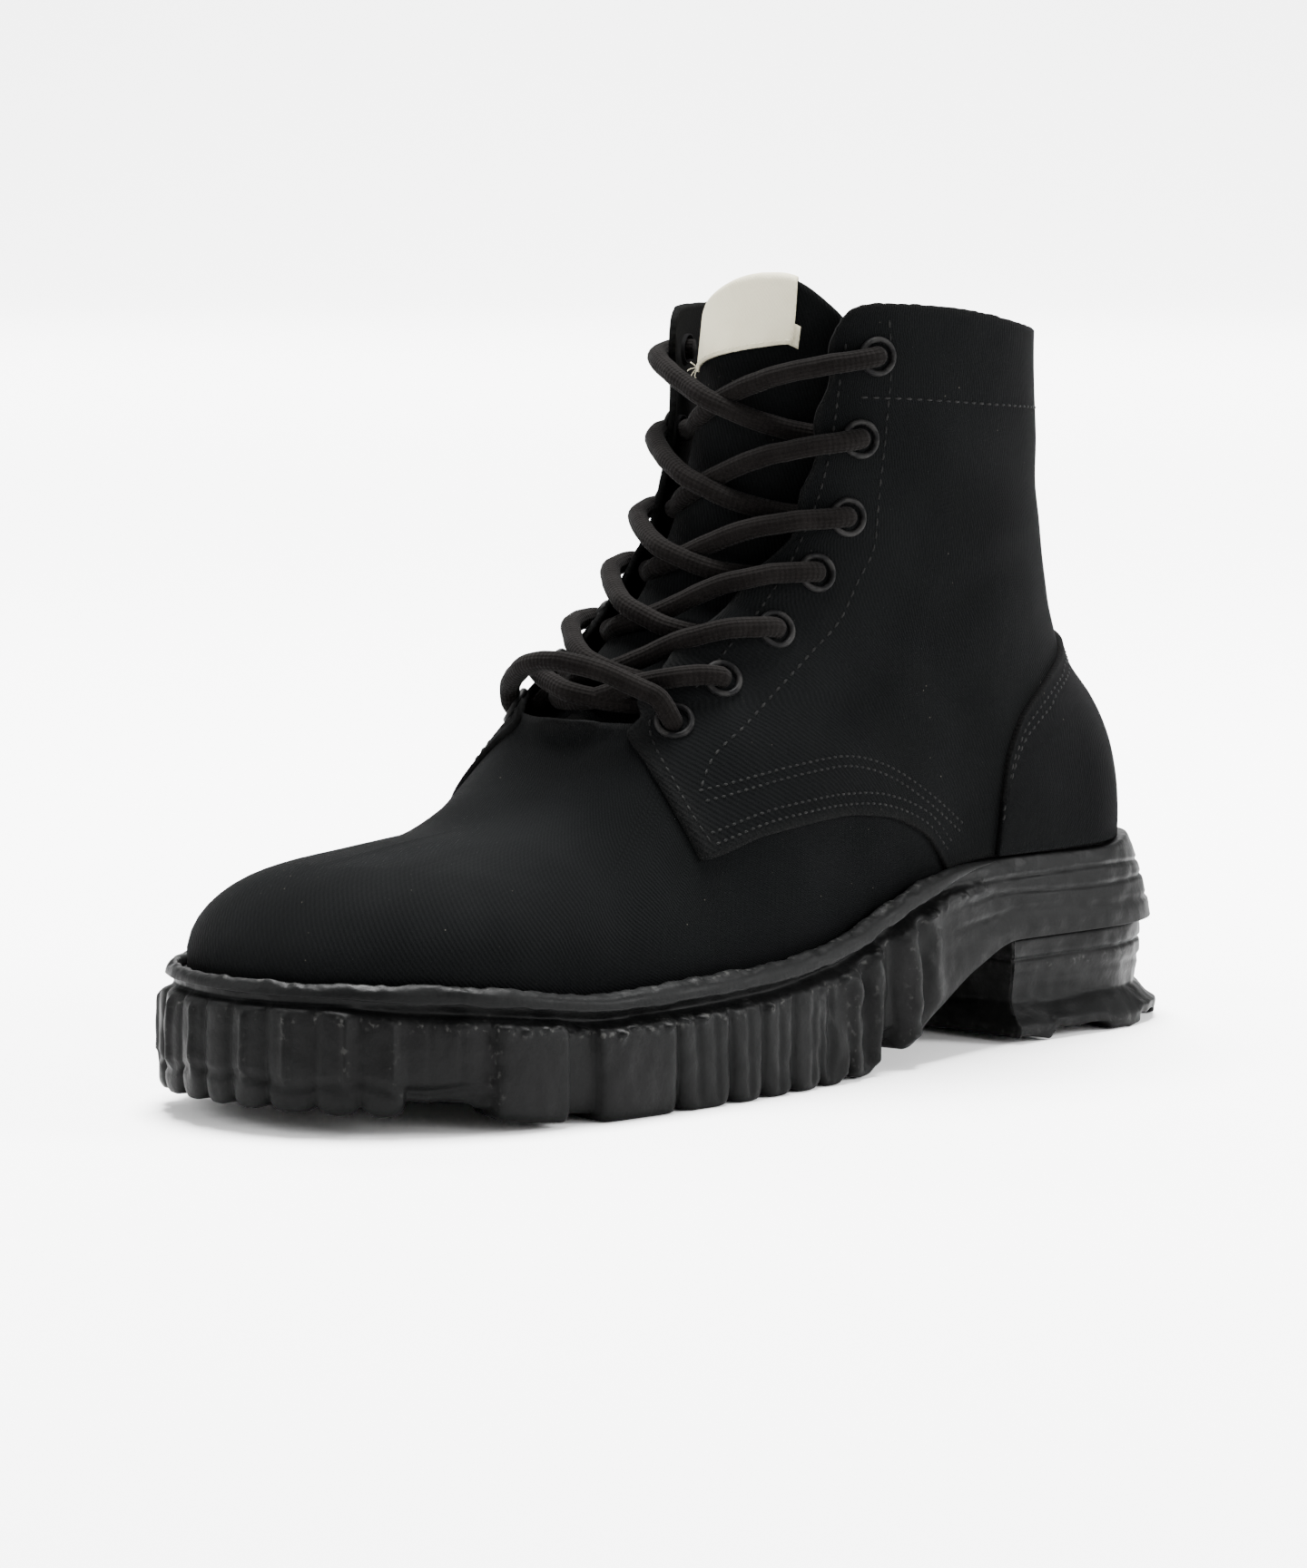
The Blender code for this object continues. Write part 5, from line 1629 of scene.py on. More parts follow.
@dataclass
class Lace:
    """One round lace, from one top eyelet down to the bar and up to the other."""

    upper: Upper
    eyelets: Eyelets
    radius: float = 2.4
    tongue_depth: float = 7.8
    clear: float = 0.2
    over_lift: float = 2.6
    bar_clear: float = 0.7
    bar_lift: float = 3.2
    arch: float = 8.5
    throat_lift: float = 6.0

    def route(self, start: Array, finish: Array, shares: Array, heights: Any) -> Array:
        """Lays a way between two eyelets.

        Args:
            start: Where it starts on the last.
            finish: Where it ends.
            shares: Shares of the way to give.
            heights: Heights over the cloth there.

        Returns:
            One place for each share.
        """
        x = start[0] + (finish[0] - start[0]) * shares
        z = start[2] + (finish[2] - start[2]) * shares
        points = self.upper.last.level(x, z)
        lift = np.broadcast_to(heights, shares.shape) + self.upper.relief(points)
        return points + self.upper.last.normals(points) * lift[:, None]

    def throatward(self, side: int, row: int) -> Array:
        """Returns the level direction from an eyelet toward the throat, along the cloth."""
        _, outward = self.eyelets.seat(side, row)
        return unit(np.cross([0.0, 0.0, float(side)], outward)) * -1.0

    def through(self, side: int, row: int, inward: bool) -> Array:
        """Returns the way through an eyelet.

        Args:
            side: Sign of the side's X.
            row: The eyelet's row.
            inward: Whether the lace goes in.

        Returns:
            Points through the hole.
        """
        centre, outward = self.eyelets.seat(side, row)
        heights = np.array([-3.8, -1.2, 1.2])
        toward = np.array([[0.0], [0.3], [0.7]]) * self.throatward(side, row)
        points = centre + outward * heights[:, None] + toward
        return points[::-1] if inward else points

    def strand(self, side: int, row: int) -> Array:
        """Lays the lace from one eyelet's outside, across the tongue, to inside the opposite lower one.

        Args:
            side: Sign of X at the first eyelet.
            row: Its row.

        Returns:
            Stops of the lace.
        """
        last = self.upper.last
        start = last.side(side, **EYELETS[row])
        finish = last.side(-side, **EYELETS[row - 1])
        if row == 1:
            finish = finish + [0.0, 0.0, self.throat_lift]
        shares = np.linspace(0, 1, 201)
        route = self.route(start, finish, shares, 0.0)
        lengths = run_lengths(route, 0)
        throat = np.minimum(route[:, 2] - FACING.key[0], FACING("y", route[:, 2]) - route[:, 1])
        inside = np.flatnonzero(throat > 0)
        near, far = lengths[inside[0]], lengths[inside[-1]]
        middle = (near + far) / 2
        over = self.upper.step + self.radius + self.clear
        down = self.radius + self.clear - self.tongue_depth
        under = self.upper.step - self.upper.wall - self.radius - 0.5
        lift = self.over_lift if side == Side.INNER else 0.0
        fall = middle - near
        # Length along the way and height over the cloth
        at, heights = np.transpose((
            (4.8, over - 0.1),
            ((4.8 + near) / 2 + 1.0, over + 0.1),
            (near + 1.0, over - 0.2),
            (near + 0.36 * fall, over - 0.28 * (over - down - lift) - 0.3),
            (near + 0.68 * fall, down + lift + 0.26 * (over - down - lift)),
            (middle, down + lift),
            (middle + 0.45 * (far - middle), down + 0.4 * lift),
            (far - 3.0, down),
            (far + 3.0, under - 0.4),
            (lengths[-1] - 5.0, under),
        ))
        return self.route(start, finish, np.interp(at, lengths, shares), heights)

    def bar(self) -> Array:
        """Returns the bar between the outsides of the two bottom eyelets."""
        start = self.upper.last.side(Side.OUTER, **EYELETS[0])
        finish = self.upper.last.side(Side.INNER, **EYELETS[0])
        shares = np.linspace(0.08, 0.92, 13)
        bow = np.sin(math.pi * shares)
        across = start[0] + (finish[0] - start[0]) * shares
        points = self.upper.last.level(across, start[2] + self.arch * bow**0.7)
        lift = self.upper.step + self.radius + self.bar_clear + self.bar_lift * bow
        return points + self.upper.last.normals(points) * lift[:, None]

    def half(self, side: int) -> Array:
        """Lays one end of the lace, from inside its top eyelet down to a bottom eyelet's outside.

        Args:
            side: Sign of X at the top eyelet.

        Returns:
            Stops of the lace.
        """
        stops = []
        for row in range(len(EYELETS) - 1, 0, -1):
            stops += [self.through(side, row, inward=False), self.strand(side, row)]
            side = -side
        stops.append(self.through(side, 0, inward=False))
        return np.concatenate(stops)

    def build(self) -> None:
        """Builds the lace."""
        stops = np.concatenate([self.half(Side.OUTER), self.bar(), self.half(Side.INNER)[::-1]])
        path = even_path(stops, 0.9)
        path = path + 0.16 * np.stack([wander(path, 5.0, seed) for seed in (1.0, 2.0, 3.0)], axis=-1)
        radius = self.radius * (1 + 0.03 * wander(path, 8.0, 4.0))
        nodes = ["lace_bar"] + [f"lace_cross_{row}" for row in range(1, len(EYELETS))]
        add_piece("lace", tube(path, radius, 16), (Cotton(),), nodes)
        LOG.info("lace: %.0f mm long", run_lengths(path, 0)[-1])


# How far the sole's middle line stays from the ends of its outline
SPINE_MARGIN = 48.0
FROM_TIP = (-2.0, -1.0)
TO_BACK = (900.0, 901.0)


class Zone(Enum):
    """Stretches of the outline from the toe's tip: where each starts, is whole, begins to fade and ends."""

    TOE = (*FROM_TIP, 26.0, 50.0)
    FOREFOOT = (*FROM_TIP, 56.0, 66.0)
    GAP = (42.0, 52.0, 58.0, 66.0)
    BLOCKS = (58.0, 66.0, 112.0, 120.0)
    KNEADED = (136.0, 172.0, 204.0, 226.0)
    CRUMBS = (48.0, 76.0, *TO_BACK)
    RIBS = (112.0, 124.0, *TO_BACK)
    FOLDS = (115.0, 170.0, *TO_BACK)
    REAR = (208.0, 240.0, *TO_BACK)

    def share(self, lengths: Array) -> Array:
        """Returns 1 in the stretch and 0 outside it, with soft ends."""
        start, whole, fade, end = self.value
        return smooth_step(start, whole, lengths) * smooth_step(end, fade, lengths)


class Outline:
    """The sole's outline from the toe's tip to the heel's back, on its outer and inner sides."""

    def __init__(self, last: Last) -> None:
        """Measures the outline on both sides.

        Args:
            last: The last that stands on the sole.
        """
        self.half_length = last.half_length
        turn = np.linspace(0, math.pi, 4000)
        self.y = -last.half_length * np.cos(turn)
        half = SOLE("half", self.y) * last.end_cap(self.y, 0.0, 0.0)
        self.sides = {}
        for side in Side:
            x = SOLE("middle", self.y) + side * half
            dx, dy = np.gradient(x), np.gradient(self.y)
            size = np.hypot(dx, dy)
            self.sides[side] = (x, side * dy / size, -side * dx / size)
        x = self.sides[Side.OUTER][0]
        self.length = np.concatenate([[0], np.cumsum(np.hypot(np.diff(x), np.diff(self.y)))])

    def stations(self, lengths: Array) -> Array:
        """Returns y at lengths along the outline from the toe's tip."""
        return np.interp(lengths, self.length, self.y)

    def ring(self, stations: Array, offset: Any, height: Array) -> Array:
        """Returns one closed ring round the sole.

        Args:
            stations: Places along the sole.
            offset: How far the ring stands outside the outline.
            height: Height for each station.

        Returns:
            Points down the outer side and back up the inner side.
        """
        points = []
        for side in Side:
            x, out_x, out_y = (np.interp(stations, self.y, values) for values in self.sides[side])
            points.append(spot(x + out_x * offset, stations + out_y * offset, height))
        return np.concatenate([points[0], points[1][-2:0:-1]])

    def spine(self, stations: Array, height: Callable[[Array], Array]) -> Array:
        """Draws a ring together to the sole's middle line.

        Args:
            stations: Places along the sole.
            height: Gives a height from a place along the sole.

        Returns:
            Points down the line and back up it.
        """
        y = np.clip(stations, -self.half_length + SPINE_MARGIN, self.half_length - SPINE_MARGIN)
        line = spot(SOLE("middle", y), y, height(y))
        return np.concatenate([line, line[-2:0:-1]])


def loft(keys: Sequence[Array], steps: Sequence[int]) -> Array:
    """Runs smooth rows through key rows.

    Args:
        keys: Rows of points, all of one length.
        steps: How many rows to make from each key row to the next.

    Returns:
        Every row.
    """
    keys = np.stack(keys)
    tangent = soft_tangents(np.diff(keys, axis=0))
    rows = []
    for i, count in enumerate(steps):
        for t in np.linspace(0, 1, count, endpoint=False):
            s = 1 - t
            a = keys[i] * (1 + 2 * t) * s * s + keys[i + 1] * (3 - 2 * t) * t * t
            rows.append(a + tangent[i] * t * s * s - tangent[i + 1] * t * t * s)
    rows.append(keys[-1])
    return np.stack(rows)


@dataclass
class Sole:
    """Outsole, heel, welt and insole."""

    last: Last
    outline: Outline
    columns: int = 620
    lug_depth: float = 4.5
    lug_width: float = 14.0
    lug_proud: float = 1.2
    tread_end: float = 30.0
    breast: float = 70.5
    heel_top: float = 24.7
    welt_tip: float = 62.0
    welt_taper: float = 26.0
    seat_gap: float = 0.35
    welt_inset: float = 2.1
    welt_dip: float = 0.3
    insole_thick: float = 2.6
    insole_inset: float = 3.6
    rear_curl: float = 2.4
    breast_columns: int = 60
    heel_columns: int = 200
    welt_columns: int = 330
    insole_columns: int = 140

    def lugs(self, lengths: Array) -> tuple[Array, Array]:
        """Lays the lugs out.

        Args:
            lengths: Lengths along the outline from the toe's tip.

        Returns:
            1 on a lug and 0 in a gap, softly, and the share of its full depth that a gap is cut to.
        """
        out = np.zeros_like(lengths)
        for lug in LUGS:
            away = np.clip(np.abs(lengths - lug["at"]) / lug["half"], 0, 1)
            out = np.maximum(out, np.sqrt(1 - away ** lug["square"]))
        places = [lug["at"] for lug in LUGS]
        notch = np.interp(lengths, places, [lug["notch"] for lug in LUGS])
        return out, np.maximum(notch, 0.8 * Zone.GAP.share(lengths))

    def welted(self, y: Array) -> Array:
        """Returns how much of the welt's full size lies over each place along the sole."""
        return np.clip((self.welt_tip + 3 - y) / self.welt_taper, 0, 1)

    def treaded(self, y: Array) -> Array:
        """Returns 1 where the sole has a tread and 0 behind it."""
        return smooth_step(self.tread_end + 2, self.tread_end - 2, y)

    def recess(self, y: Array) -> Array:
        """Returns the height of the recess inside the lugs."""
        return SOLE("tread", y) + self.treaded(y) * self.lug_depth

    def seat(self, y: Array) -> Array:
        """Returns the height of what lies on the sole."""
        return SOLE("top", y) + self.seat_gap

    def crown(self, y: Array) -> Array:
        """Returns the height of the insole's top."""
        return self.seat(y) + self.insole_thick

    def wall(self, y: Array, offset: Any, height: Array) -> Array:
        """Returns a ring on the sole's side, which leans inward as it rises."""
        lean = SOLE("draft", y) * (height - SOLE("tread", y)) / (SOLE("top", y) - SOLE("tread", y))
        return self.outline.ring(y, offset - lean, height)

    def groove_drop(self, lengths: Array, y: Array) -> Array:
        """Returns how far the groove lies under the sole's top."""
        return 3.0 + 0.8 * self.welted(y) - 1.5 * Zone.TOE.share(lengths)

    def add_rubber(self, name: str, rows: Array, edge_glint: Array, node: str) -> None:
        """Makes a visible piece of rubber from closed rows, with its painted edge highlight, in place of a
        node.
        """
        bm = bend_grid(rows, wrap_columns=True, marks={"edge_glint": edge_glint})
        add_piece(name, bm, (Rubber(),), [node])

    def build_outsole(self) -> None:
        """Builds the outsole: welt seat, groove with pits, ribs, lugs, folded waist and rear layers."""
        outline = self.outline
        lengths = np.linspace(0, outline.length[-1], self.columns)
        y = outline.stations(lengths)
        y[0], y[-1] = -self.last.half_length, self.last.half_length
        top, tread, treaded = SOLE("top", y), SOLE("tread", y), self.treaded(y)
        lug, notch = self.lugs(lengths)
        bottom = tread + treaded * (1 - lug) * self.lug_depth * notch
        rib = treaded * self.lug_proud * (2 * lug - 1)
        blocks, toe = Zone.BLOCKS.share(lengths), Zone.TOE.share(lengths)
        high_rib = rib * (0.05 + 0.75 * toe + 0.85 * blocks + 0.15 * Zone.RIBS.share(lengths))
        wall_low = np.minimum(tread + 8.0, top - 11.5)
        welted = self.welted(y)
        groove = top - self.groove_drop(lengths, y)
        shelf = groove - 2.1 + 0.7 * toe
        curl = self.rear_curl * smooth_step(104, 134, y)
        keys = (
            outline.spine(y, partial(SOLE, "top")),
            self.wall(y, -3.6, top + curl),
            self.wall(y, -0.8 - 0.5 * welted, top - 0.1 + curl),
            self.wall(y, -0.1 - 1.4 * welted, top - 1.6 + 0.8 * curl),
            self.wall(y, -2.8 * welted * (1 - 0.65 * toe), groove),
            self.wall(y, 0.1 + 0.3 * welted + high_rib, shelf),
            self.wall(y, 0.1 + 0.8 * treaded + high_rib, (shelf + wall_low) / 2),
            self.wall(y, 0.1 + 0.8 * treaded + 0.5 * (high_rib + rib), wall_low),
            self.wall(y, 0.1 + 0.3 * treaded + rib, bottom + 2.4),
            self.wall(y, -0.2 - 0.8 * treaded + rib, bottom),
            outline.ring(y, -self.lug_width, bottom),
            outline.ring(y, -self.lug_width - 2.0, self.recess(y)),
            outline.spine(y, self.recess),
        )
        rows = loft(keys, (3, 3, 4, 6, 6, 8, 8, 5, 4, 5, 3, 4))
        rows, edge_glint = self.work_wall(rows, np.concatenate([lengths, lengths[-2:0:-1]]))
        self.add_rubber("outsole_rubber", rows, edge_glint, "outsole")

    def work_wall(self, rows: Array, lengths: Array) -> tuple[Array, Array]:
        """Works the sole's side by hand: ridges, folds, pits, crumbs and dents.

        Args:
            rows: Rows round the sole.
            lengths: Length along the outline for each column.

        Returns:
            The worked rows, and how much painted highlight each place gets.
        """
        x, y, z = np.moveaxis(rows, -1, 0)
        top, tread = SOLE("top", y), SOLE("tread", y)
        ring = self.outline.ring(self.outline.stations(lengths[: self.columns]), 0.0, lengths[: self.columns])
        outward = unit(np.gradient(np.concatenate([ring, ring[:2]]), axis=0)[: len(ring)])
        outward = spot(outward[:, 1], -outward[:, 0], 0.0)
        side = ((rows[:, :, :2] - ring[None, :, :2]) * outward[None, :, :2]).sum(axis=-1)
        on_wall = smooth_step(-6.0, -3.2, side) * smooth_step(0.4, 1.6, z - tread)
        on_wall = on_wall * smooth_step(0.2, 1.2, top - z)
        forefoot, kneaded, folds, crumbled, rear, toe = (
            zone.share(lengths)[None]
            for zone in (Zone.FOREFOOT, Zone.KNEADED, Zone.FOLDS, Zone.CRUMBS, Zone.REAR, Zone.TOE)
        )
        welted = self.welted(y)
        drop = self.groove_drop(lengths[None], y)
        under_groove = smooth_step(top - drop - 1.0, top - drop - 3.0, z)
        up = z - tread
        band = np.where(lengths[None] < 60, smooth_step(5.5, 7.5, up), smooth_step(0.5, 2.5, up))
        bent = lengths[None] + 0.8 * np.sin(z / 6.0 + 1.0) * folds
        bent = bent + 1.7 * kneaded * wander(rows, 7.0, 12.0)
        lines = sum(line["out"] * hump(bent, line["at"], line["width"]) for line in WALL_LINES)
        ridges = np.clip(lines, 0, 1) * band * under_groove
        out = (lines * (1 + 0.35 * kneaded) + 1.1 * kneaded * wander(rows, 5.5, 11.0)) * band * under_groove
        out = out - 1.1 * hump(up, 6.6 + 0.9 * np.sin(lengths / 4.3)[None], 0.9) * forefoot
        for depth in (4.4, 8.4, 13.2):
            sweep = depth + 0.35 * np.sin(lengths / 11.0 + depth)[None]
            out = out - 0.8 * hump(top - z, sweep, 0.5) * rear
        below = top - z - drop
        groove = hump(below, 0.4, 1.3) * smooth_step(0.05, 0.4, welted) * (1 - toe)
        pits = np.clip(wander(spot(x, y, 0.0), 7.0, 2.0) * 2.4 - 0.3, 0, 1)
        out = out - 1.6 * groove * pits
        crumbs = np.clip(wander(rows, 3.2, 9.0) * 3.0 - 0.35, 0, 1) * crumbled
        crumb_row = hump(below, 2.2, 1.5) * smooth_step(0.05, 0.4, welted)
        out = out + 2.4 * crumb_row * crumbs
        ragged = hump(lengths, 64.5, 2.4)[None] * wander(rows, 3.0, 7.0)
        out = out + 0.9 * ragged + 0.5 * wander(rows, 13.0, 1.0) + 0.4 * wander(rows, 4.5, 4.0)
        rows = rows + outward[None] * (out * on_wall)[..., None]
        # Painted highlight along the groove's lip, the wall's ridges and the crumbs
        lip = hump(below, 2.6, 0.9) * (1 - rear) + 0.5 * hump(lengths, 65.0, 1.5)[None]
        edge_glint = np.clip(lip + 0.5 * ridges + crumb_row * crumbs, 0, 1) * on_wall
        return rows, edge_glint

    def heel_ring(self, stations: Array, offset: Array, height: Array) -> Array:
        """Returns a ring round the heel, closed by a straight breast.

        Args:
            stations: Places from the breast to the heel's back.
            offset: How far the ring stands outside the outline, for each station.
            height: Height for each station.

        Returns:
            Points down the outer side, back up the inner side and across the breast.
        """
        both = self.outline.ring(stations, offset, height)
        outer, inner = both[: len(stations)], both[len(stations) :]
        first_inner = outer[0] * [-1, 1, 1] + [2 * SOLE("middle", self.breast), 0, 0]
        share = np.linspace(0, 1, self.breast_columns + 1)[1:-1, None]
        breast = first_inner + (outer[0] - first_inner) * share
        loop = np.concatenate([outer, inner, first_inner[None], breast])
        loop[:, 1] = np.maximum(loop[:, 1], self.breast + 0.4 - 0.55 * offset[0])
        return loop

    def build_heel(self) -> None:
        """Builds the heel block: layers, a hollow side, a flared foot with lugs and a straight breast."""
        turn = np.linspace(0.0, math.pi / 2, self.heel_columns)
        y = self.breast + (self.last.half_length - self.breast) * np.sin(turn)
        place = turn / (math.pi / 2) * 12
        lug = sum(
            smooth_step(start - 0.25, start + 0.1, place) * smooth_step(end + 0.25, end - 0.1, place)
            for start, end in ((-1.0, 1.3), (3.7, 5.3), (7.7, 9.3), (10.7, 13.0))
        )
        notch = (1 - np.clip(lug, 0, 1)) * self.lug_depth * 0.5
        notch = notch + 1.6 * hump(place, 0.0, 0.9) + 0.5 * np.abs(np.sin(place * 2.7))
        levels = named(
            "height out lug",
            (self.heel_top + 0.15, -2.4, 0.0), (self.heel_top + 0.1, -0.6, 0.0), (23.6, -0.1, 0.0),
            (20.8, -0.3, 0.0), (19.8, -1.1, 0.0), (18.8, -0.6, 0.0), (15.4, -1.3, 0.0), (10.5, -2.8, 0.0),
            (6.0, -0.4, 0.15), (2.6, 1.6, 0.7), (0.0, 0.8, 1.0),
        )
        keys = []
        for level in levels:
            height = level["height"] + notch * level["lug"]
            lean = SOLE("draft", y) * level["height"] / SOLE("top", y)
            keys.append(self.heel_ring(y, level["out"] - lean, height))
        inner = self.heel_ring(y, -11.0 + 0 * y, notch)
        recess = self.heel_ring(y, -13.0 + 0 * y, np.full_like(y, self.lug_depth))
        centre = np.array([0.0, (self.breast + self.last.half_length) / 2, 0.0])
        above = np.broadcast_to(centre + [0, 0, self.heel_top - 0.3], inner.shape)
        below = np.broadcast_to(centre + [0, 0, self.lug_depth], inner.shape)
        rows = loft((above, *keys, inner, recess, below), (2, 2, 3, 3, 3, 3, 4, 5, 6, 5, 4, 4, 3, 3))
        rows, edge_glint = self.work_heel(rows, centre)
        self.add_rubber("heel_rubber", rows, edge_glint, "heel")

    def work_heel(self, rows: Array, centre: Array) -> tuple[Array, Array]:
        """Works the heel's side by hand: smeared layers, facets and dents.

        Args:
            rows: Rows round the heel.
            centre: Middle of the heel on the floor.

        Returns:
            The worked rows, and how much painted highlight each place gets.
        """
        z = rows[..., 2]
        outward = unit((rows - centre) * [1, 1, 0])
        on_side = smooth_step(0.5, 2.5, z) * smooth_step(self.heel_top - 0.6, self.heel_top - 2.2, z)
        on_side = on_side * (np.linalg.norm((rows - centre)[..., :2], axis=-1) > 18)
        layers = -0.8 * hump(z, 15.0 + 0.9 * wander(rows, 26.0, 2.0), 0.6)
        layers = layers - 0.6 * hump(z, 9.0 + 1.4 * wander(rows, 20.0, 7.0), 0.6)
        out = layers + 0.6 * wander(rows, 12.0, 1.0) + 0.35 * wander(rows, 4.5, 5.0)
        rows = rows + outward * (out * on_side)[..., None]
        # Painted highlight near the floor and along the upper layer's edge
        edge_glint = np.clip(hump(z, 1.5, 1.6) + hump(z, 17.8, 1.0), 0, 1) * on_side
        return rows, edge_glint

    def build_welt(self) -> None:
        """Builds the welt: a sloped band with a ragged upper edge, pointed at its ends."""
        outline = self.outline
        longest = float(np.interp(self.welt_tip, outline.y, outline.length))
        lengths = np.linspace(0.0, longest, self.welt_columns)
        y = outline.stations(lengths)
        y[0] = -self.last.half_length
        base = self.seat(y)
        taper = np.clip((self.welt_tip - y) / self.welt_taper, 0.06, 1.0)
        width = (SOLE("feather", y) - self.welt_inset) * (0.4 + 0.6 * taper)
        dip = 1 - self.welt_dip * hump(lengths, 87.0, 15.0)
        section = named(
            "in up",
            (1.0, 0.0), (0.6, 0.05), (0.34, 0.0), (0.28, -1.6), (0.14, -2.1), (0.0, -1.6),
            (0.02, -0.3), (0.14, 0.9), (0.38, 1.7), (0.68, 2.1), (0.92, 2.0), (1.0, 1.2),
        )
        keys = []
        for corner in section:
            share = dip if corner["up"] > 0 else 1 - 0.7 * Zone.TOE.share(lengths)
            both = outline.ring(y, -width * corner["in"], base + corner["up"] * taper * share)
            outer, inner = both[: len(y)], both[len(y) :]
            end = outer[-1:] * [-1, 1, 1] + [2 * SOLE("middle", y[-1]), 0, 0]
            keys.append(np.concatenate([outer[::-1], inner[::-1], end]))
        rows = loft([*keys, keys[0]], (2, 2, 2, 2, 3, 3, 4, 4, 4, 3, 2, 2))[:-1]
        rise = rows[..., 2] - SOLE("top", rows[..., 1]) - self.seat_gap
        upper_part = smooth_step(0.6, 1.8, rise) + 0.7 * smooth_step(-0.9, -1.8, rise)
        ragged = 0.55 * wander(rows, 5.0, 3.0) + 0.35 * wander(rows, 2.2, 6.0)
        rows[..., 2] += ragged * upper_part
        rows = rows + 0.25 * wander(rows, 9.0, 2.0)[..., None] * [1, 1, 0]
        # Painted highlight along the welt's upper edge
        edge_glint = smooth_step(1.5, 2.1, rise)
        strips = np.swapaxes(rows, 0, 1)
        edge_glint = np.swapaxes(edge_glint, 0, 1)
        ends = [np.broadcast_to(strip.mean(axis=0), strip.shape)[None] for strip in (strips[0], strips[-1])]
        strips = np.concatenate([ends[0], strips, ends[1]])
        edge_glint = np.concatenate([edge_glint[:1], edge_glint, edge_glint[-1:]])
        self.add_rubber("welt_rubber", strips, edge_glint, "welt")

    def build_insole(self) -> None:
        """Builds the insole, with a soft edge and a shallow dish."""
        turn = np.linspace(0, math.pi, self.insole_columns)
        y = -self.last.half_length * np.cos(turn)
        inset = -(SOLE("feather", y) + self.insole_inset)
        low = self.seat(y)
        keys = (
            self.outline.spine(y, self.seat),
            self.outline.ring(y, inset, low),
            self.outline.ring(y, inset, low + 2.2),
            self.outline.ring(y, inset - 1.0, low + 3.0),
            self.outline.spine(y, self.crown),
        )
        rows = loft(keys, (3, 3, 3, 8))
        bm = bend_grid(rows, wrap_columns=True)
        add_piece("insole_board", bm, (Felt(),), ["insole"])

    def build(self) -> None:
        """Builds every piece of the sole."""
        self.build_outsole()
        self.build_heel()
        self.build_welt()
        self.build_insole()


# Soft lights: place and width in metres, power in watts
LIGHTS = named(
    "name place size power",
    ("overhead", (-0.3, 0.3, 2.2), 1.2, 390.0),
    ("front_left", (-1.3, -1.8, 1.2), 1.2, 45.0),
    ("back_right", (1.8, 1.5, 1.1), 1.0, 112.0),
    ("right", (2.0, 0.0, 0.5), 0.9, 20.0),
)


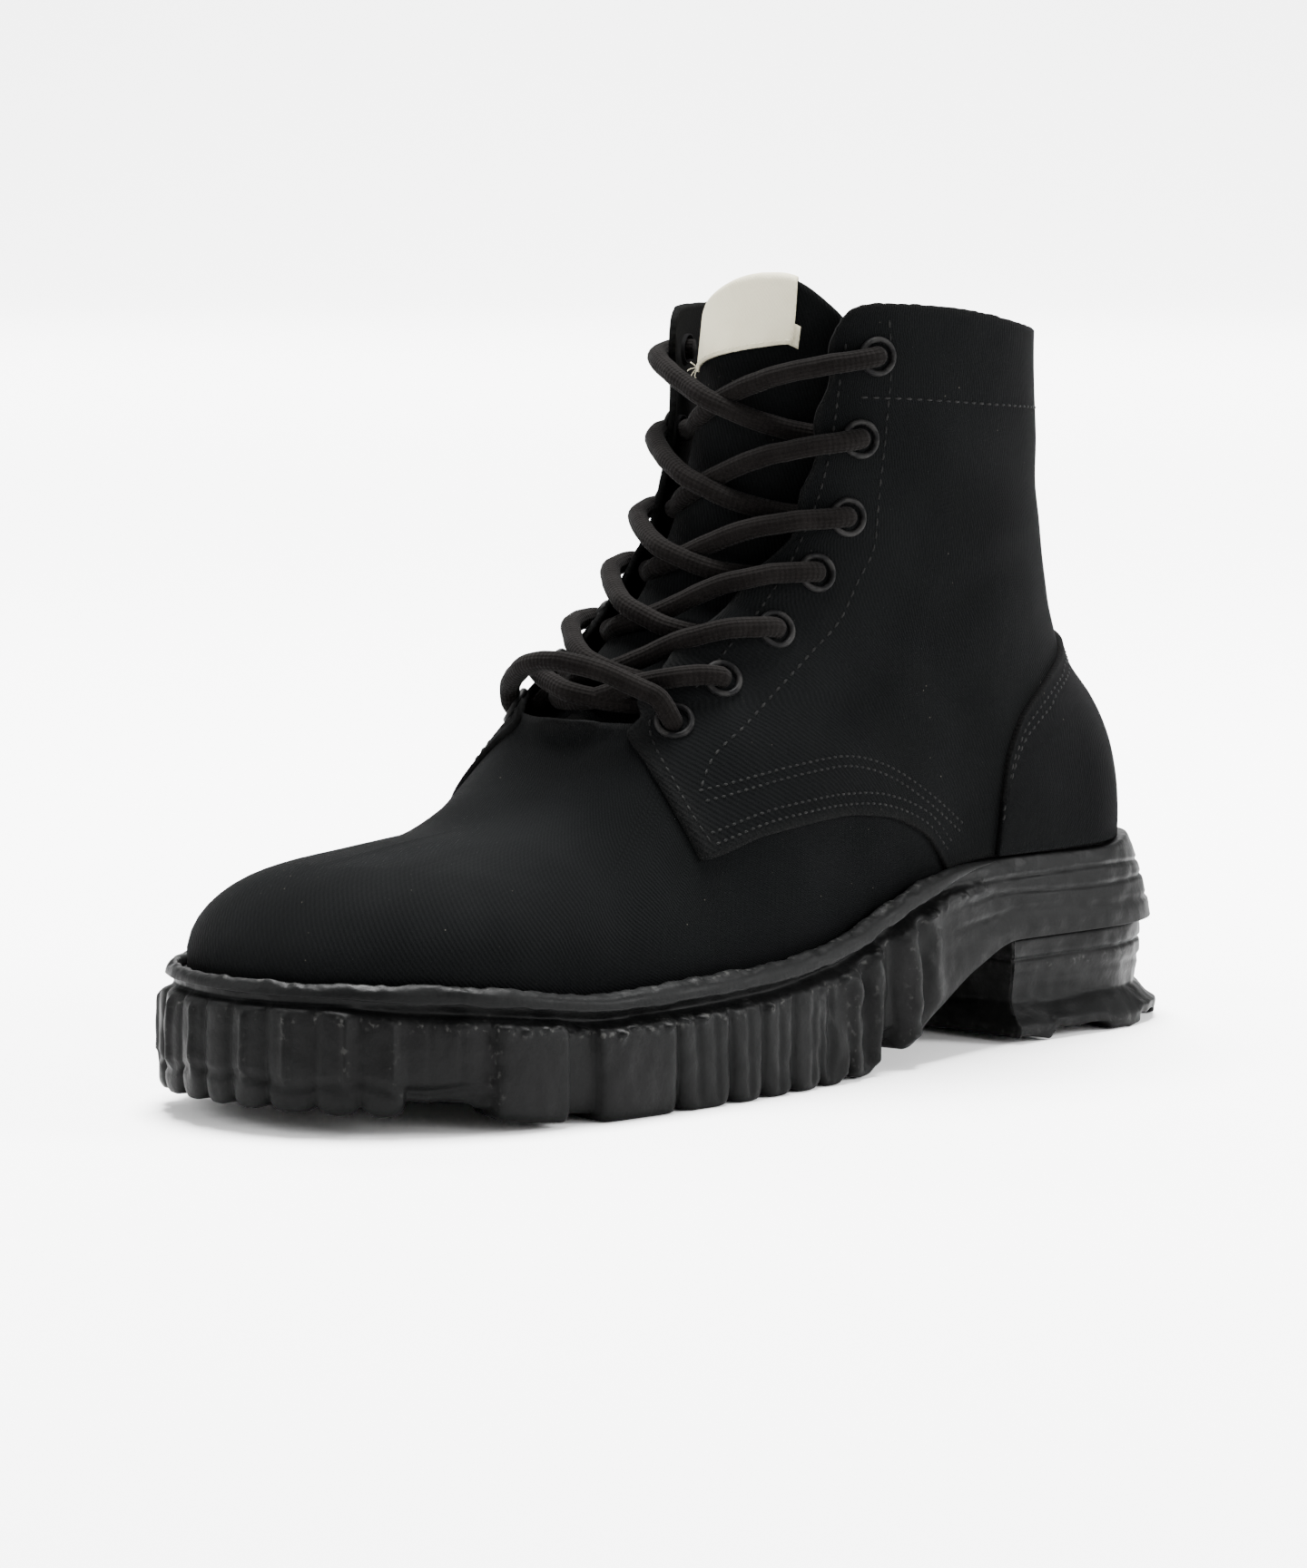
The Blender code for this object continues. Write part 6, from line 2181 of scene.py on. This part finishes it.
@dataclass(frozen=True)
class Studio:
    """Pale sweep, soft light and the camera."""

    azimuth: float = math.radians(44.0)
    elevation: float = math.radians(6.3)
    distance: float = 1500.0
    lens: float = 146.9
    right: float = -8.5
    up: float = 64.5
    world: float = 1.0
    floor_reach: float = 5.0
    sweep: float = 3.0
    sweep_light: tuple[float, float] = (3.4, 3.2)
    sweep_target: tuple[float, float] = (5.44, 0.2)
    sweep_light_size: float = 3.0
    sweep_power: float = 1050.0

    def build_camera(self) -> None:
        """Sets up the camera at the photograph's angle."""
        az, el = self.azimuth, self.elevation
        right = Vector((math.cos(az), math.sin(az), 0.0))
        back = Vector((math.sin(az) * math.cos(el), -math.cos(az) * math.cos(el), math.sin(el)))
        up = back.cross(right)
        data = bpy.data.cameras.new("camera")
        data.lens = self.lens
        data.sensor_width = 36.0
        data.clip_end = 100.0
        camera = bpy.data.objects.new("camera", data)
        turn = Matrix((right, up, back)).transposed().to_4x4()
        centre = (right * self.right + up * self.up + back * self.distance) * MM
        camera.matrix_world = Matrix.Translation(centre) @ turn
        bpy.context.scene.collection.objects.link(camera)
        bpy.context.scene.camera = camera

    def build_light(
        self, name: str, place: Sequence[float], size: float, power: float,
        target: Sequence[float] = (0.0, 0.0, 0.08),
    ) -> None:
        """Adds a large soft light.

        Args:
            name: The light's name.
            place: Where it hangs, in metres.
            size: Its width in metres.
            power: Its power in watts.
            target: What it looks at, in metres.
        """
        data = bpy.data.lights.new(name, "AREA")
        data.shape = "DISK"
        data.size = size
        data.energy = power
        light = bpy.data.objects.new(name, data)
        light.location = place
        light.rotation_euler = (Vector(target) - Vector(place)).to_track_quat("-Z", "Y").to_euler()
        bpy.context.scene.collection.objects.link(light)

    def build(self) -> None:
        """Builds the floor, the lights, the surroundings and the camera."""
        self.build_camera()
        bm = bmesh.new()
        bmesh.ops.create_grid(bm, x_segments=2, y_segments=72, size=9.0)
        away = Vector((-math.sin(self.azimuth), math.cos(self.azimuth), 0.0))
        across = Vector((math.cos(self.azimuth), math.sin(self.azimuth), 0.0))
        for vertex in bm.verts:
            past = max(vertex.co.y - self.floor_reach, 0.0)
            bend = min(past / self.sweep, math.pi / 2)
            over = past - bend * self.sweep
            depth = vertex.co.y - past + self.sweep * math.sin(bend)
            vertex.co = across * vertex.co.x + away * depth
            vertex.co.z = self.sweep * (1 - math.cos(bend)) + over
        mesh = bpy.data.meshes.new("floor")
        bm.to_mesh(mesh)
        bm.free()
        mesh.shade_smooth()
        mesh.materials.append(dress(Backdrop()))
        floor = bpy.data.objects.new("floor", mesh)
        bpy.context.scene.collection.objects.link(floor)
        world = bpy.data.worlds.new("studio")
        world.use_nodes = True
        background = world.node_tree.nodes["Background"]
        background.inputs["Color"].default_value = (1.0, 1.0, 1.0, 1.0)
        background.inputs["Strength"].default_value = self.world
        bpy.context.scene.world = world
        for light in LIGHTS:
            self.build_light(**light)
        ends = (self.sweep_light, self.sweep_target)
        place, target = (away * far + Vector((0.0, 0.0, height)) for far, height in ends)
        self.build_light("sweep", place, self.sweep_light_size, self.sweep_power, target)


def main() -> None:
    """Builds the studio and every piece of the boot."""
    logging.basicConfig(level=logging.INFO, format="%(name)s: %(message)s")
    Studio().build()
    last = Last()
    upper = Upper(last)
    eyelets = Eyelets(upper)
    Lace(upper, eyelets).build()
    eyelets.build()
    upper.build()
    Tongue(upper).build()
    Stitching(upper).build()
    Sole(last, Outline(last)).build()


if __name__ == "__main__":
    main()
